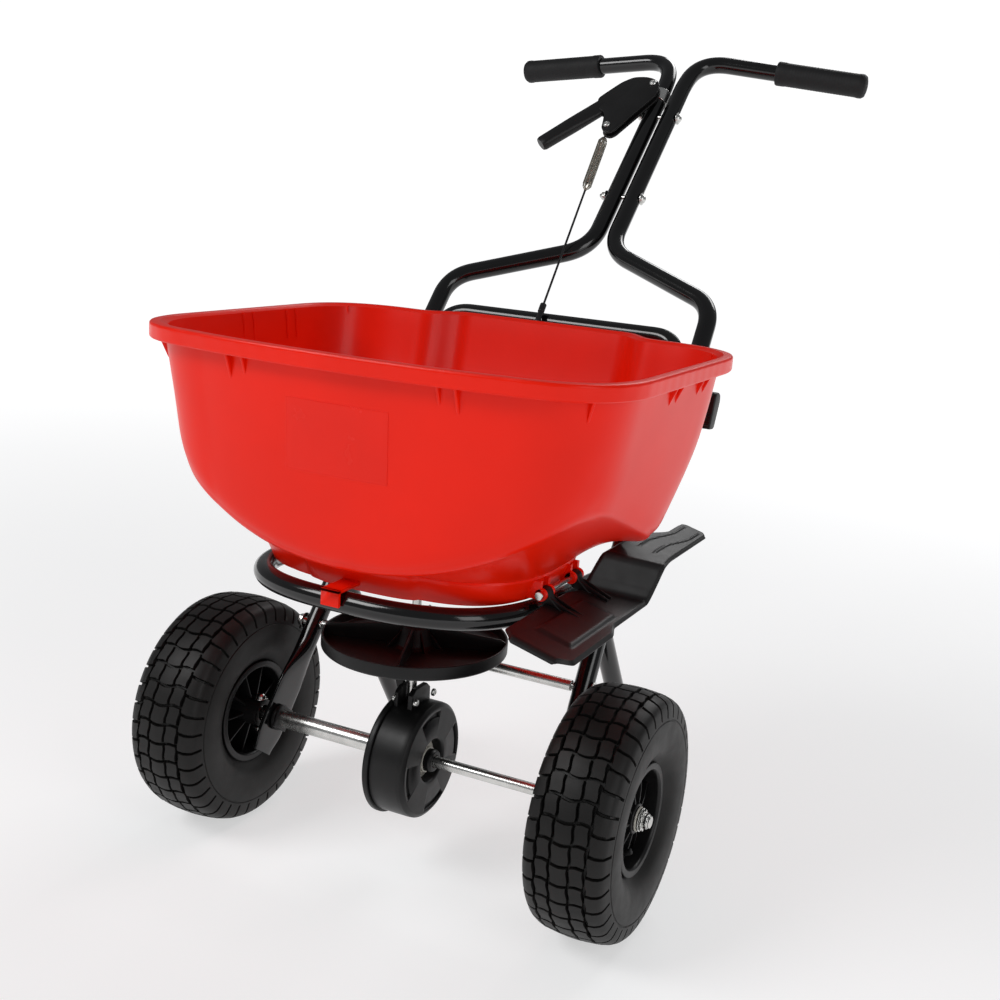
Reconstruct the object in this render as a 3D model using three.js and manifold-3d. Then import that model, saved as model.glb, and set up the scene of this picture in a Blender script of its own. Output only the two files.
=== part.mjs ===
// A walk-behind broadcast spreader: hopper, bent-tube frame, geared impeller, shut-off control and deflector.
// Millimetres, +Z up, -Y is the front, the axle runs along X, the floor is z = 0.
import * as THREE from "three";
import { mergeVertices } from "three/addons/utils/BufferGeometryUtils.js";
import Module from "manifold-3d";

const wasm = await Module();
wasm.setup();

// ---------------------------------------------------------------- driving dimensions
const FOOTPRINT_SHIFT = -261.95; // moves the axle so that the origin is the middle of the footprint
const GAP = 0.3; // clearance between touching pieces

const WHEEL_RADIUS = 130;
const WHEEL_X = 239; // centre of each wheel from the middle of the machine
const TYRE_WIDTH = 91;
const RIM_RADIUS = 59.5; // over the flanges
const RIM_HALF = 36;
const AXLE_RADIUS = 6.35;
const AXLE_END = 283.6;

const TUBE_RADIUS = 11; // 7/8 inch frame and handle tube
const FRAME_SLOPE = 0.7; // the legs lean back by this much for each millimetre up
const LEG_TOP = { x: 156, z: 545 };
const LEG_FOOT_X = 176;
// The hoop rises to the front.
const HOOP = { half: 150, front: -143, frontZ: 342.5, rear: 150, rearZ: 327, corner: 135 };
const CROSSBAR = { y: 315, z: 580, half: 156 };

const RIM_TOP = 585; // hopper rim
const RIM_SKIRT = 16;
const HOPPER_WALL = 3.5;
const NECK_BOTTOM = 349.4;
const FLOOR_TOP = 356;
const GATE_CABLE_Z = 360;
const SHEATH_END = 184; // where the sheath ends behind the gate
const SHEATH_RADIUS = 4.4;
const SHEATH_BORE = 3.6; // wide enough for the cable to swing as the lever turns

const GEARBOX_RADIUS = 64;
const IMPELLER_RADIUS = 99.5;
const IMPELLER_Z = 256;
const SHAFT_RADIUS = 5;

const GRIP_RADIUS = 16;
const LEVER_PIVOT = new THREE.Vector3(-18, 610.4, 884.7);
const HINGE = { x: 162, z: 358, droop: 15 }; // deflector hinge line and its slope at rest, degrees

// ---------------------------------------------------------------- materials
const standard = (color, roughness, metalness = 0) =>
  new THREE.MeshStandardMaterial({ color, roughness, metalness });
const RED = standard(0xe02010, 0.35);
const GLOSS_BLACK = standard(0x0b0b0c, 0.18, 0.1);
const MATT_BLACK = standard(0x18181a, 0.6);
const RUBBER = standard(0x1d1b19, 0.85);
const ZINC = standard(0xb9bcbd, 0.3, 0.9);
const SPRING_STEEL = standard(0x9a948a, 0.35, 0.9);
const ACETAL = standard(0xd8d4c8, 0.5);

// ---------------------------------------------------------------- solids
const V = (x, y, z) => new THREE.Vector3(x, y, z);

// A closed geometry as a manifold solid with its faces pointing out.
function solid(geometry) {
  const bare = geometry.index ? geometry.toNonIndexed() : geometry.clone();
  for (const name of Object.keys(bare.attributes)) if (name !== "position") bare.deleteAttribute(name);
  const merged = mergeVertices(bare, 1e-4);
  const make = (triVerts) =>
    new wasm.Manifold(
      new wasm.Mesh({ numProp: 3, vertProperties: merged.attributes.position.array, triVerts }),
    );
  const triVerts = new Uint32Array(merged.index.array);
  const made = make(triVerts);
  if (made.volume() > 0) return made;
  for (let i = 0; i < triVerts.length; i += 3) {
    [triVerts[i + 1], triVerts[i + 2]] = [triVerts[i + 2], triVerts[i + 1]];
  }
  return make(triVerts);
}

function geometryOf(made) {
  const { vertProperties, triVerts } = made.getMesh();
  return new THREE.BufferGeometry()
    .setAttribute("position", new THREE.BufferAttribute(new Float32Array(vertProperties), 3))
    .setIndex(new THREE.BufferAttribute(new Uint32Array(triVerts), 1));
}

const join = (first, ...rest) => rest.reduce((sum, next) => sum.add(next), first);
const cut = (first, ...rest) => rest.reduce((left, next) => left.subtract(next), first);
const placed = (geometry, matrix) => solid(geometry.applyMatrix4(matrix));

function block(x, y, z) {
  const geometry = new THREE.BoxGeometry(x[1] - x[0], y[1] - y[0], z[1] - z[0]);
  return solid(geometry.translate((x[0] + x[1]) / 2, (y[0] + y[1]) / 2, (z[0] + z[1]) / 2));
}

// The matrix that lays local +Y along from -> to, with its origin at from.
function along(from, to) {
  const turn = new THREE.Quaternion().setFromUnitVectors(V(0, 1, 0), to.clone().sub(from).normalize());
  return new THREE.Matrix4().compose(from, turn, V(1, 1, 1));
}

function rod(radius, from, to, sides = 12) {
  const length = from.distanceTo(to);
  const geometry = new THREE.CylinderGeometry(radius, radius, length, sides);
  return placed(geometry.translate(0, length / 2, 0), along(from, to));
}

// A rod whose flats, not corners, lie at the radius: what it cuts clears a round bar of that radius.
const drill = (radius, from, to, sides = 12) => rod(radius / Math.cos(Math.PI / sides), from, to, sides);

// A ring or a stepped bar: profile holds [radius, distance along the axis] pairs, closed on itself.
function turned(profile, from, to, sides = 16) {
  const points = [...profile, profile[0]].map(([r, s]) => new THREE.Vector2(r, s));
  return placed(new THREE.LatheGeometry(points, sides), along(from, to));
}

const ring = (outer, inner, from, to, sides = 14) => {
  const length = from.distanceTo(to);
  const profile = [
    [inner, 0],
    [outer, 0],
    [outer, length],
    [inner, length],
  ];
  return turned(profile, from, to, sides);
};

// A path through corners, each rounded over the given distance from the corner.
function roundedPath(corners, reach) {
  const path = new THREE.CurvePath();
  let last = corners[0];
  corners.slice(1, -1).forEach((corner, i) => {
    const near = Array.isArray(reach) ? reach[i] : reach;
    const before = corner.clone().add(last.clone().sub(corner).setLength(near));
    const after = corner.clone().add(corners[i + 2].clone().sub(corner).setLength(near));
    path.add(new THREE.LineCurve3(last, before));
    path.add(new THREE.QuadraticBezierCurve3(before, corner, after));
    last = after;
  });
  path.add(new THREE.LineCurve3(last, corners.at(-1)));
  return path;
}

function circle(radius, inner = 0) {
  const shape = new THREE.Shape().absarc(0, 0, radius, 0, 2 * Math.PI);
  if (inner) shape.holes.push(new THREE.Path().absarc(0, 0, inner, 0, 2 * Math.PI, true));
  return shape;
}

function sweep(shape, path, steps, curveSegments = 5) {
  const options = { steps, curveSegments, bevelEnabled: false, extrudePath: path };
  return solid(new THREE.ExtrudeGeometry(shape, options));
}

// A skin through rings of equal length, capped at both ends.
function loft(rings) {
  const count = rings[0].length;
  const middle = (loop) => loop.reduce((sum, p) => sum.add(p), V(0, 0, 0)).divideScalar(loop.length);
  const points = [...rings.flat(), middle(rings[0]), middle(rings.at(-1))];
  const faces = [];
  rings.slice(1).forEach((_, i) => {
    for (let j = 0; j < count; j++) {
      const k = (j + 1) % count;
      const [a, b, c, d] = [i * count + j, i * count + k, (i + 1) * count + j, (i + 1) * count + k];
      faces.push(a, b, d, a, d, c);
    }
  });
  const top = (rings.length - 1) * count;
  for (let j = 0; j < count; j++) {
    const k = (j + 1) % count;
    faces.push(points.length - 2, k, j, points.length - 1, top + j, top + k);
  }
  return solid(new THREE.BufferGeometry().setFromPoints(points).setIndex(faces));
}

const mirrorX = (made) => made.mirror([1, 0, 0]);

const spreader = new THREE.Group();
spreader.position.y = FOOTPRINT_SHIFT;

function add(name, material, made) {
  const mesh = new THREE.Mesh(geometryOf(made), material);
  mesh.name = name;
  spreader.add(mesh);
}

// ---------------------------------------------------------------- frame tubes
// The middle of a leg at height z, on the +X side.
function legPoint(z) {
  const rise = (z - WHEEL_RADIUS) / (LEG_TOP.z - WHEEL_RADIUS);
  const x = THREE.MathUtils.lerp(LEG_FOOT_X, LEG_TOP.x, rise);
  return V(x, FRAME_SLOPE * (z - WHEEL_RADIUS), z);
}

const LEG_UP = legPoint(LEG_TOP.z).sub(legPoint(WHEEL_RADIUS)).normalize();

// A leg is round above and pressed flat around the axle; extra widens it to make room in other tubes.
function legSkin(extra) {
  const stations = [
    [95, 20, 2.6],
    [112, 23, 2.6],
    [150, 24, 2.6],
    [168, 22, 3.4],
    [190, 15.5, 7.5],
    [208, TUBE_RADIUS, TUBE_RADIUS],
    [LEG_TOP.z, TUBE_RADIUS, TUBE_RADIUS],
  ];
  const across = V(1, 0, 0);
  const forward = LEG_UP.clone().cross(across).normalize();
  const side = forward.clone().cross(LEG_UP).normalize();
  const sides = 16;
  return loft(
    stations.map(([z, wide, thick]) => {
      const middle = legPoint(z);
      const flat = wide - thick > 5 ? 0.45 : 1; // squarer corners where the tube is pressed flat
      return Array.from({ length: sides }, (_, i) => {
        const angle = (2 * Math.PI * i) / sides;
        const s = Math.sin(angle);
        const c = Math.cos(angle);
        return middle
          .clone()
          .addScaledVector(forward, (wide + extra) * c)
          .addScaledVector(side, (thick + extra) * Math.sign(s) * Math.abs(s) ** flat);
      });
    }),
  );
}

const CROSS_ROD = { y: 64, z: 227, radius: 6, thread: 4 };
const legWide = legSkin(GAP);
const jointBolts = [
  { name: "lower", z: 497 },
  { name: "upper", z: 536 },
].map(({ name, z }) => ({ name, at: legPoint(z) }));

{
  const bushHole = rod(10.6, V(150, 0, WHEEL_RADIUS), V(200, 0, WHEEL_RADIUS));
  const atRod = (x) => V(x, CROSS_ROD.y, CROSS_ROD.z);
  const rodHole = rod(CROSS_ROD.thread + GAP, atRod(140), atRod(200));
  const boltHoles = jointBolts.map(({ at }) => rod(3.6, V(130, at.y, at.z), V(205, at.y, at.z), 10));
  const leg = cut(legSkin(0), bushHole, rodHole, ...boltHoles);
  add("frame_leg_right", GLOSS_BLACK, leg);
  add("frame_leg_left", GLOSS_BLACK, mirrorX(leg));
}

{
  const start = legPoint(LEG_TOP.z).addScaledVector(LEG_UP, 3 * GAP);
  const ends = [V(-start.x, start.y, start.z), start];
  const corners = [
    ends[0],
    V(-CROSSBAR.half, CROSSBAR.y, CROSSBAR.z),
    V(CROSSBAR.half, CROSSBAR.y, CROSSBAR.z),
    ends[1],
  ];
  add("frame_crossbar", GLOSS_BLACK, sweep(circle(TUBE_RADIUS), roundedPath(corners, 34), 22));
}

{
  const ends = [V(-HOOP.half, HOOP.rear, HOOP.rearZ), V(HOOP.half, HOOP.rear, HOOP.rearZ)];
  const fronts = [V(-HOOP.half, HOOP.front, HOOP.frontZ), V(HOOP.half, HOOP.front, HOOP.frontZ)];
  const path = roundedPath([ends[0], ...fronts, ends[1]], HOOP.corner);
  const hoop = sweep(circle(TUBE_RADIUS), path, 30);
  add("frame_hoop", GLOSS_BLACK, cut(hoop, legWide, mirrorX(legWide)));
}

const STAND_TOP = V(168, 97, 302);
const STAND_FOOT = V(168, 301, 4);
{
  const toFoot = STAND_FOOT.clone().sub(STAND_TOP).normalize();
  const end = STAND_FOOT.clone().addScaledVector(toFoot, -9);
  const stand = cut(rod(TUBE_RADIUS, STAND_TOP, end), legWide);
  add("stand_leg_right", GLOSS_BLACK, stand);
  add("stand_leg_left", GLOSS_BLACK, mirrorX(stand));
  const capTop = end.clone().addScaledVector(toFoot, -26);
  const below = block([100, 250], [200, 400], [-80, 0]);
  const capOuter = rod(TUBE_RADIUS + 3, capTop, STAND_FOOT.clone().addScaledVector(toFoot, 12));
  const cap = cut(capOuter, drill(TUBE_RADIUS + GAP, capTop.clone().addScaledVector(toFoot, -5), end), below);
  add("stand_foot_right", RUBBER, cap);
  add("stand_foot_left", RUBBER, mirrorX(cap));
}

// ---------------------------------------------------------------- cross rod between the legs
{
  const { y, z, radius, thread } = CROSS_ROD;
  const leg = legPoint(z).x;
  const inner = leg - TUBE_RADIUS - 1.2;
  const end = leg + TUBE_RADIUS + 11;
  const at = (x) => V(x, y, z);
  add("cross_rod", ZINC, join(rod(radius, at(-inner), at(inner)), rod(thread, at(-end), at(end), 16)));
  const nut = cut(
    rod(8, at(leg + TUBE_RADIUS + 1), at(leg + TUBE_RADIUS + 8), 6),
    rod(thread + GAP, at(leg), at(leg + 40), 16),
  );
  add("cross_rod_nut_right", ZINC, nut);
  add("cross_rod_nut_left", ZINC, mirrorX(nut));
}

// ---------------------------------------------------------------- handle
const HANDLE_CORNERS = [
  V(250, 694, 904),
  V(18, 684, 927),
  V(13, 640, 886),
  V(13, 423, 669),
  V(178, 355, 619),
  V(184, 246, 480),
];
const CENTRE_BOLTS = [
  { name: "upper", y: 598, z: 844 },
  { name: "lower", y: 490, z: 735 },
];
const GRIP_LENGTH = 120;

// A bolt along X with a domed head, a washer face and a nut, all one piece with its shank.
function crossBolt(from, to, y, z, radius = 3.2) {
  const at = (x) => V(x, y, z);
  const way = Math.sign(to - from);
  const head = turned(
    [
      [0, 0],
      [6.5, 0],
      [6.5, 2.2],
      [4.5, 4.6],
      [0, 5.4],
    ],
    at(from),
    at(from - way * 10),
    8,
  );
  const nut = rod(6, at(to), at(to + way * 6), 6);
  const shank = rod(radius, at(from - way), at(to + way * 9), 8);
  return join(head, nut, shank);
}

{
  const path = roundedPath(HANDLE_CORNERS, [46, 8, 36, 30]);
  const boltHoles = [
    ...CENTRE_BOLTS.map(({ y, z }) => rod(3.6, V(-5, y, z), V(40, y, z), 10)),
    ...jointBolts.map(({ at }) => rod(3.6, V(165, at.y, at.z), V(210, at.y, at.z), 10)),
  ];
  const tube = cut(sweep(circle(TUBE_RADIUS), path, 38), ...boltHoles);
  add("handle_tube_right", GLOSS_BLACK, tube);
  add("handle_tube_left", GLOSS_BLACK, mirrorX(tube));

  const outer = HANDLE_CORNERS[0];
  const inward = HANDLE_CORNERS[1].clone().sub(outer).normalize();
  const start = outer.clone().addScaledVector(inward, -4);
  const inner = outer.clone().addScaledVector(inward, GRIP_LENGTH);
  const length = start.distanceTo(inner);
  const barrel = [
    [0, 0],
    [12, 0],
    [GRIP_RADIUS, 4],
    [GRIP_RADIUS, length - 3],
    [GRIP_RADIUS - 1.5, length],
    [0, length],
  ];
  const bore = [outer.clone().addScaledVector(inward, -GAP), inner.clone().addScaledVector(inward, 9)];
  const grip = cut(turned(barrel, start, inner), drill(TUBE_RADIUS + GAP, ...bore));
  add("grip_right", MATT_BLACK, grip);
  add("grip_left", MATT_BLACK, mirrorX(grip));

  for (const { name, y, z } of CENTRE_BOLTS) {
    add(`handle_bolt_${name}`, ZINC, crossBolt(24.6, -24.6, y, z));
  }
  for (const { name, at } of jointBolts) {
    const outside = 184 + TUBE_RADIUS + 1.5;
    const inside = at.x - TUBE_RADIUS - 0.6;
    const bolt = crossBolt(outside, inside, at.y, at.z);
    add(`frame_bolt_${name}_right`, ZINC, bolt);
    add(`frame_bolt_${name}_left`, ZINC, mirrorX(bolt));
  }
}

// ---------------------------------------------------------------- wheels
const WHEEL_SIDES = [
  { name: "left", sign: -1 },
  { name: "right", sign: 1 },
];

// Profiles are [radius, distance from the wheel's middle plane].
const half = (points) => [...points, ...points.map(([r, s]) => [r, -s]).reverse()];
const BEAD_RADIUS = 54.7;
const TYRE_PROFILE = half([
  [WHEEL_RADIUS, 22],
  [WHEEL_RADIUS - 9, 40],
  [98, TYRE_WIDTH / 2],
  [72, 43],
  [RIM_RADIUS + 0.7, 33],
  [BEAD_RADIUS, 32.6],
  [BEAD_RADIUS, 22],
  [78, 37],
  [112, 35],
]);
const HUB_RADIUS = 16;
const HUB_BORE = 9.3;
const NECK_END = 46; // how far the hub reaches towards the frame
const RIM_PROFILE = [
  [HUB_BORE, -30],
  [HUB_RADIUS, -30],
  [HUB_RADIUS, 2],
  [50, 4],
  [50.6, -RIM_HALF],
  [RIM_RADIUS, -RIM_HALF],
  [RIM_RADIUS, -RIM_HALF + 3],
  [53.9, -RIM_HALF + 3.4],
  [53.9, RIM_HALF - 3.4],
  [RIM_RADIUS, RIM_HALF - 3],
  [RIM_RADIUS, RIM_HALF],
  [50.6, RIM_HALF],
  [50, 9],
  [HUB_RADIUS, 8],
  [HUB_RADIUS, NECK_END],
  [HUB_BORE, NECK_END],
];
const RIBS = 9;

for (const { name, sign } of WHEEL_SIDES) {
  const centre = V(sign * WHEEL_X, 0, WHEEL_RADIUS);
  const inward = V(-sign, 0, 0);
  const at = (s) => centre.clone().addScaledVector(inward, s);
  const facing = at(1);
  add(`tyre_${name}`, RUBBER, turned(TYRE_PROFILE, centre, facing, 28));

  const ribs = Array.from({ length: RIBS }, (_, i) => {
    const fin = new THREE.Shape([
      new THREE.Vector2(HUB_RADIUS - 2, -27),
      new THREE.Vector2(51, -20),
      new THREE.Vector2(51, 24),
      new THREE.Vector2(HUB_RADIUS - 2, 30),
    ]);
    const plate = new THREE.ExtrudeGeometry(fin, { depth: 2.4, bevelEnabled: false }).translate(0, 0, -1.2);
    plate.rotateY((2 * Math.PI * (i + 0.5)) / RIBS);
    return placed(plate, along(centre, facing));
  });
  const stemAngle = (250 * Math.PI) / 180;
  const stemAt = (r, s) => at(s).add(V(0, r * Math.cos(stemAngle), r * Math.sin(stemAngle)));
  const stemHole = rod(4.4, stemAt(49, -16), stemAt(60, -16), 10);
  const pinHole = rod(3.3, at(41).add(V(0, 0, -30)), at(41).add(V(0, 0, 30)), 14);
  const bore = rod(HUB_BORE, at(-60), at(60), 12);
  const rim = cut(join(turned(RIM_PROFILE, centre, facing, 18), ...ribs), bore, stemHole, pinHole);
  add(`wheel_rim_${name}`, MATT_BLACK, rim);
  const stem = join(
    rod(4, stemAt(52.5, -16), stemAt(44, -16), 10),
    rod(3, stemAt(45, -16), stemAt(40, -19), 8),
    rod(2.6, stemAt(40.6, -18.6), stemAt(35, -27), 8),
  );
  add(`valve_stem_${name}`, RUBBER, stem);

  const bushProfile = [
    [AXLE_RADIUS + GAP, -32.4],
    [13, -32.4],
    [13, -30.4],
    [HUB_BORE - GAP, -30.4],
    [HUB_BORE - GAP, 36],
    [AXLE_RADIUS + GAP, 36],
  ];
  add(`wheel_bush_${name}`, ACETAL, turned(bushProfile, centre, facing));
  const washerAt = -33;
  const nut = cut(
    join(rod(12, at(washerAt), at(washerAt - 1.8), 14), rod(10.5, at(washerAt - 1.7), at(washerAt - 10), 6)),
    rod(AXLE_RADIUS + GAP, at(0), at(-60)),
  );
  add(`hub_nut_${name}`, ZINC, nut);
}

// ---------------------------------------------------------------- axle
const PIN_X = -(WHEEL_X - 41);
const COLLAR = [-37, -21.3]; // the fluted collar beside the gearbox, along the axle
{
  const at = (x) => V(x, 0, WHEEL_RADIUS);
  const pinHole = rod(3, V(PIN_X, 0, 90), V(PIN_X, 0, 170), 14);
  add("axle", ZINC, cut(rod(AXLE_RADIUS, at(-AXLE_END), at(AXLE_END), 20), pinHole));
  const pin = join(
    rod(2.7, V(PIN_X, 0, WHEEL_RADIUS - 26), V(PIN_X, 0, WHEEL_RADIUS + 24), 14),
    rod(6, V(PIN_X, 0, WHEEL_RADIUS + 17), V(PIN_X, 0, WHEEL_RADIUS + 22), 6),
    rod(6, V(PIN_X, 0, WHEEL_RADIUS - 22), V(PIN_X, 0, WHEEL_RADIUS - 17), 6),
  );
  add("drive_pin", ZINC, pin);
  add("axle_sleeve", ZINC, ring(10, AXLE_RADIUS + GAP, at(-168), at(COLLAR[0] - GAP)));

  for (const { name, sign } of WHEEL_SIDES) {
    const bush = join(
      ring(10, AXLE_RADIUS + GAP, at(sign * 168.6), at(sign * 182)),
      ring(15, AXLE_RADIUS + GAP, at(sign * 168.6), at(sign * 172.4)),
    );
    add(`axle_bearing_${name}`, MATT_BLACK, bush);
  }
  const flutes = Array.from({ length: 8 }, (_, i) => {
    const angle = (i * Math.PI) / 4;
    const offset = V(0, 17 * Math.cos(angle), 17 * Math.sin(angle));
    return rod(3.4, at(COLLAR[0] - 2).add(offset), at(COLLAR[1] + 1).add(offset), 6);
  });
  const collar = ring(16, AXLE_RADIUS + GAP, at(COLLAR[0]), at(COLLAR[1]), 16);
  add("axle_collar", MATT_BLACK, cut(collar, ...flutes));
}

// ---------------------------------------------------------------- gearbox
const GEAR_TEETH = 24;
const PINION_TEETH = 8;
const CLAMP_Z = 200; // screws that clamp the neck of the gearbox
const SEAM_X = -11; // where the cover meets the housing
{
  const at = (x) => V(x, 0, WHEEL_RADIUS);
  const neckHole = rod(SHAFT_RADIUS + GAP, V(0, 0, WHEEL_RADIUS), V(0, 0, 400), 14);
  const shellProfile = [
    [8, 26],
    [8, 34],
    [17, 34],
    [17, 30],
    [GEARBOX_RADIUS - 4, 30],
    [GEARBOX_RADIUS, 26],
    [GEARBOX_RADIUS, SEAM_X],
    [GEARBOX_RADIUS - 4, SEAM_X],
    [GEARBOX_RADIUS - 4, 26],
  ];
  const neck = rod(12, V(0, 0, WHEEL_RADIUS + GEARBOX_RADIUS - 3), V(0, 0, 232), 16);
  const webs = [block([-3, 3], [-22, 22], [190, 210]), block([-18, 14], [-2, 2], [190, 220])];
  const bosses = [-19, 19].map((y) => rod(5.5, V(-8, y, CLAMP_Z), V(15, y, CLAMP_Z)));
  const ribs = Array.from({ length: 6 }, (_, i) => {
    const angle = ((i + 0.5) * Math.PI) / 3;
    const point = (r, x) => V(x, r * Math.cos(angle), WHEEL_RADIUS + r * Math.sin(angle));
    return rod(1.6, point(24, 30), point(52, 30), 6);
  });
  const nubs = Array.from({ length: 6 }, (_, i) => {
    const angle = (i * Math.PI) / 3 + 0.2;
    const point = (r, x) => V(x, r * Math.cos(angle), WHEEL_RADIUS + r * Math.sin(angle));
    return rod(2.6, point(GEARBOX_RADIUS - 0.5, 18), point(GEARBOX_RADIUS - 0.5, 29), 6);
  });
  const shell = turned(shellProfile, at(0), at(1), 24);
  const inside = rod(GEARBOX_RADIUS - 4, at(SEAM_X - 1), at(26), 24);
  const lipSpace = rod(GEARBOX_RADIUS + 3.4, at(SEAM_X - 10), at(SEAM_X), 24);
  const housing = cut(join(shell, neck, ...webs, ...bosses, ...ribs, ...nubs), inside, lipSpace);
  add("gearbox_housing", MATT_BLACK, cut(housing, neckHole, rod(8, at(20), at(40), 24)));

  const coverProfile = [
    [8, SEAM_X - 6.5],
    [15, SEAM_X - 10],
    [GEARBOX_RADIUS - 8, SEAM_X - 9],
    [GEARBOX_RADIUS + 3, SEAM_X - 6],
    [GEARBOX_RADIUS + 3, SEAM_X - GAP],
    [GEARBOX_RADIUS - 4.6, SEAM_X - GAP],
    [GEARBOX_RADIUS - 4.6, SEAM_X + 2],
    [GEARBOX_RADIUS - 8, SEAM_X + 2],
    [GEARBOX_RADIUS - 8, SEAM_X - 4],
    [8, SEAM_X - 3.5],
  ];
  add("gearbox_cover", MATT_BLACK, turned(coverProfile, at(0), at(1), 24));

  [-19, 19].forEach((y, i) => {
    const on = (x) => V(x, y, CLAMP_Z);
    const screw = join(rod(4, on(15.3), on(18)), rod(1.8, on(17), on(19), 6));
    add(`gearbox_screw_${i + 1}`, ZINC, screw);
  });

  const teeth = Array.from({ length: GEAR_TEETH }, (_, i) => {
    const tooth = new THREE.BoxGeometry(3.2, 2.4, 12).translate(11.2, 0, 45);
    const place = new THREE.Matrix4().setPosition(at(0));
    return placed(tooth.rotateX((2 * Math.PI * (i + 0.5)) / GEAR_TEETH), place);
  });
  const wheelProfile = [
    [AXLE_RADIUS + GAP, SEAM_X - 2.5],
    [16, SEAM_X - 2.5],
    [16, 12.5],
    [52, 12.5],
    [52, 18],
    [14, 18],
    [14, 25],
    [AXLE_RADIUS + GAP, 25],
  ];
  const wheel = turned(wheelProfile, at(0), at(1), 24);
  add("drive_gear", ACETAL, join(wheel, ...teeth));

  const pinionZ = WHEEL_RADIUS + 45;
  const cogs = Array.from({ length: PINION_TEETH }, (_, i) => {
    const tooth = new THREE.BoxGeometry(3, 2.2, 9).translate(7.4, 0, 0);
    const place = new THREE.Matrix4().setPosition(0, 0, pinionZ);
    return placed(tooth.rotateZ((2 * Math.PI * i) / PINION_TEETH), place);
  });
  const core = ring(7, SHAFT_RADIUS + GAP, V(0, 0, pinionZ - 5), V(0, 0, pinionZ + 5));
  add("pinion_gear", ACETAL, join(core, ...cogs));
}

// ---------------------------------------------------------------- impeller and its shaft
{
  const axis = (z) => V(0, 0, z);
  const bowl = [
    [SHAFT_RADIUS + GAP, -20],
    [13, -20],
    [26, -3],
    [IMPELLER_RADIUS - 2, -2],
    [IMPELLER_RADIUS, 0],
    [IMPELLER_RADIUS, 13],
    [IMPELLER_RADIUS - 2.5, 13],
    [IMPELLER_RADIUS - 3, 1.5],
    [24, 1.5],
    [14, 26],
    [SHAFT_RADIUS + GAP, 26],
  ];
  const vanes = Array.from({ length: 4 }, (_, i) => {
    const outline = new THREE.Shape([
      new THREE.Vector2(12, -1),
      new THREE.Vector2(IMPELLER_RADIUS - 1.5, -1),
      new THREE.Vector2(IMPELLER_RADIUS - 1.5, 16),
      new THREE.Vector2(60, 20),
      new THREE.Vector2(12, 24),
    ]);
    const fin = new THREE.ExtrudeGeometry(outline, { depth: 2.4, bevelEnabled: false }).translate(0, 0, -1.2);
    fin.rotateX(Math.PI / 2).rotateZ((i * Math.PI) / 2 + 0.35);
    return placed(fin, new THREE.Matrix4().setPosition(0, 0, IMPELLER_Z));
  });
  const dish = turned(bowl, axis(IMPELLER_Z), axis(IMPELLER_Z + 1), 24);
  const hole = rod(SHAFT_RADIUS + GAP, axis(200), axis(320), 14);
  add("impeller", MATT_BLACK, cut(join(dish, ...vanes), hole));
  const agitatorHole = rod(3.2, V(-9, 0, 368), V(9, 0, 368), 14);
  add("impeller_shaft", ZINC, cut(rod(SHAFT_RADIUS, axis(148), axis(378), 14), agitatorHole));
  const wire = roundedPath([V(-34, 0, 376), V(-20, 0, 368), V(20, 0, 368), V(34, 0, 360.5)], 6);
  add("agitator", SPRING_STEEL, sweep(circle(2.7), wire, 9, 3));
}

// ---------------------------------------------------------------- hopper
const OUTLINE_POINTS = 40;

// One plan outline of the hopper: half width, front, side rear and centre rear, and the corner reaches.
function outline({ wide, front, rear, panel, corner }) {
  const right = new THREE.Path().moveTo(0, front);
  const step = Math.min(30, wide * 0.12);
  const inner = wide * 0.43;
  right.quadraticCurveTo(wide * 0.4, front, wide - corner, front + corner * 0.14);
  right.quadraticCurveTo(wide - 1, front + corner * 0.22, wide, front + corner * 1.25);
  right.lineTo(wide, rear - corner);
  right.quadraticCurveTo(wide, rear, wide - corner, rear);
  right.lineTo(inner + step * 1.4, rear);
  right.bezierCurveTo(inner + step * 0.5, rear, inner + step * 0.4, panel, inner - step * 0.5, panel - 1);
  right.quadraticCurveTo(inner * 0.5, panel, 0, panel);
  const side = right.getSpacedPoints(OUTLINE_POINTS / 2);
  const other = side.slice(1, -1).reverse().map((p) => new THREE.Vector2(-p.x, p.y));
  return [...side, ...other];
}

const level = (shape, height) => outline(shape).map((p) => V(p.x, p.y, height(p)));
const flat = (z) => () => z;
const inset = (shape, by) => ({
  wide: shape.wide - by,
  front: shape.front + by,
  rear: shape.rear - by,
  panel: shape.panel - by,
  corner: Math.max(shape.corner - by * 0.5, 8),
});

const RIM_OUTLINE = { wide: 265, front: -186, rear: 243, panel: 281, corner: 96 };
const WALL_TOP = { wide: 254, front: -174, rear: 232, panel: 270, corner: 92 };
const WALL_MIDDLE = { wide: 245, front: -168, rear: 204, panel: 243, corner: 88 };
const WALL_LOW = { wide: 237, front: -163, rear: 142, panel: 190, corner: 84 };
const WALL_EDGE = { wide: 231, front: -157, rear: 122, panel: 165, corner: 80 };
const NECK_TOP = { wide: 158, front: -127, rear: 112, panel: 150, corner: 92 };
const NECK_FOOT = { wide: 150, front: -121, rear: 106, panel: 140, corner: 88 };

// The lower edge of the walls: low in front and behind, with a crest at each front corner.
function wave({ x, y }) {
  const outward = Math.min(Math.abs(x) / 226, 1) ** 2.2;
  const forward = THREE.MathUtils.smoothstep(180 - y, 0, 300);
  return 382 + 81 * outward * forward;
}

function hopperSkin(by) {
  const shape = (s) => inset(s, by);
  const lift = by ? 4 : 0; // thickens the shallow underside
  return [
    level(shape(WALL_TOP), flat(RIM_TOP + (by ? 5 : 0))),
    level(shape(WALL_MIDDLE), (p) => THREE.MathUtils.lerp(wave(p), RIM_TOP, 0.52)),
    level(shape(WALL_LOW), (p) => wave(p) + 22),
    level(shape(WALL_EDGE), (p) => wave(p) + 2 + lift),
    level(inset(WALL_EDGE, by + 8), (p) => wave(p) - 5 + lift),
  ];
}

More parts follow.
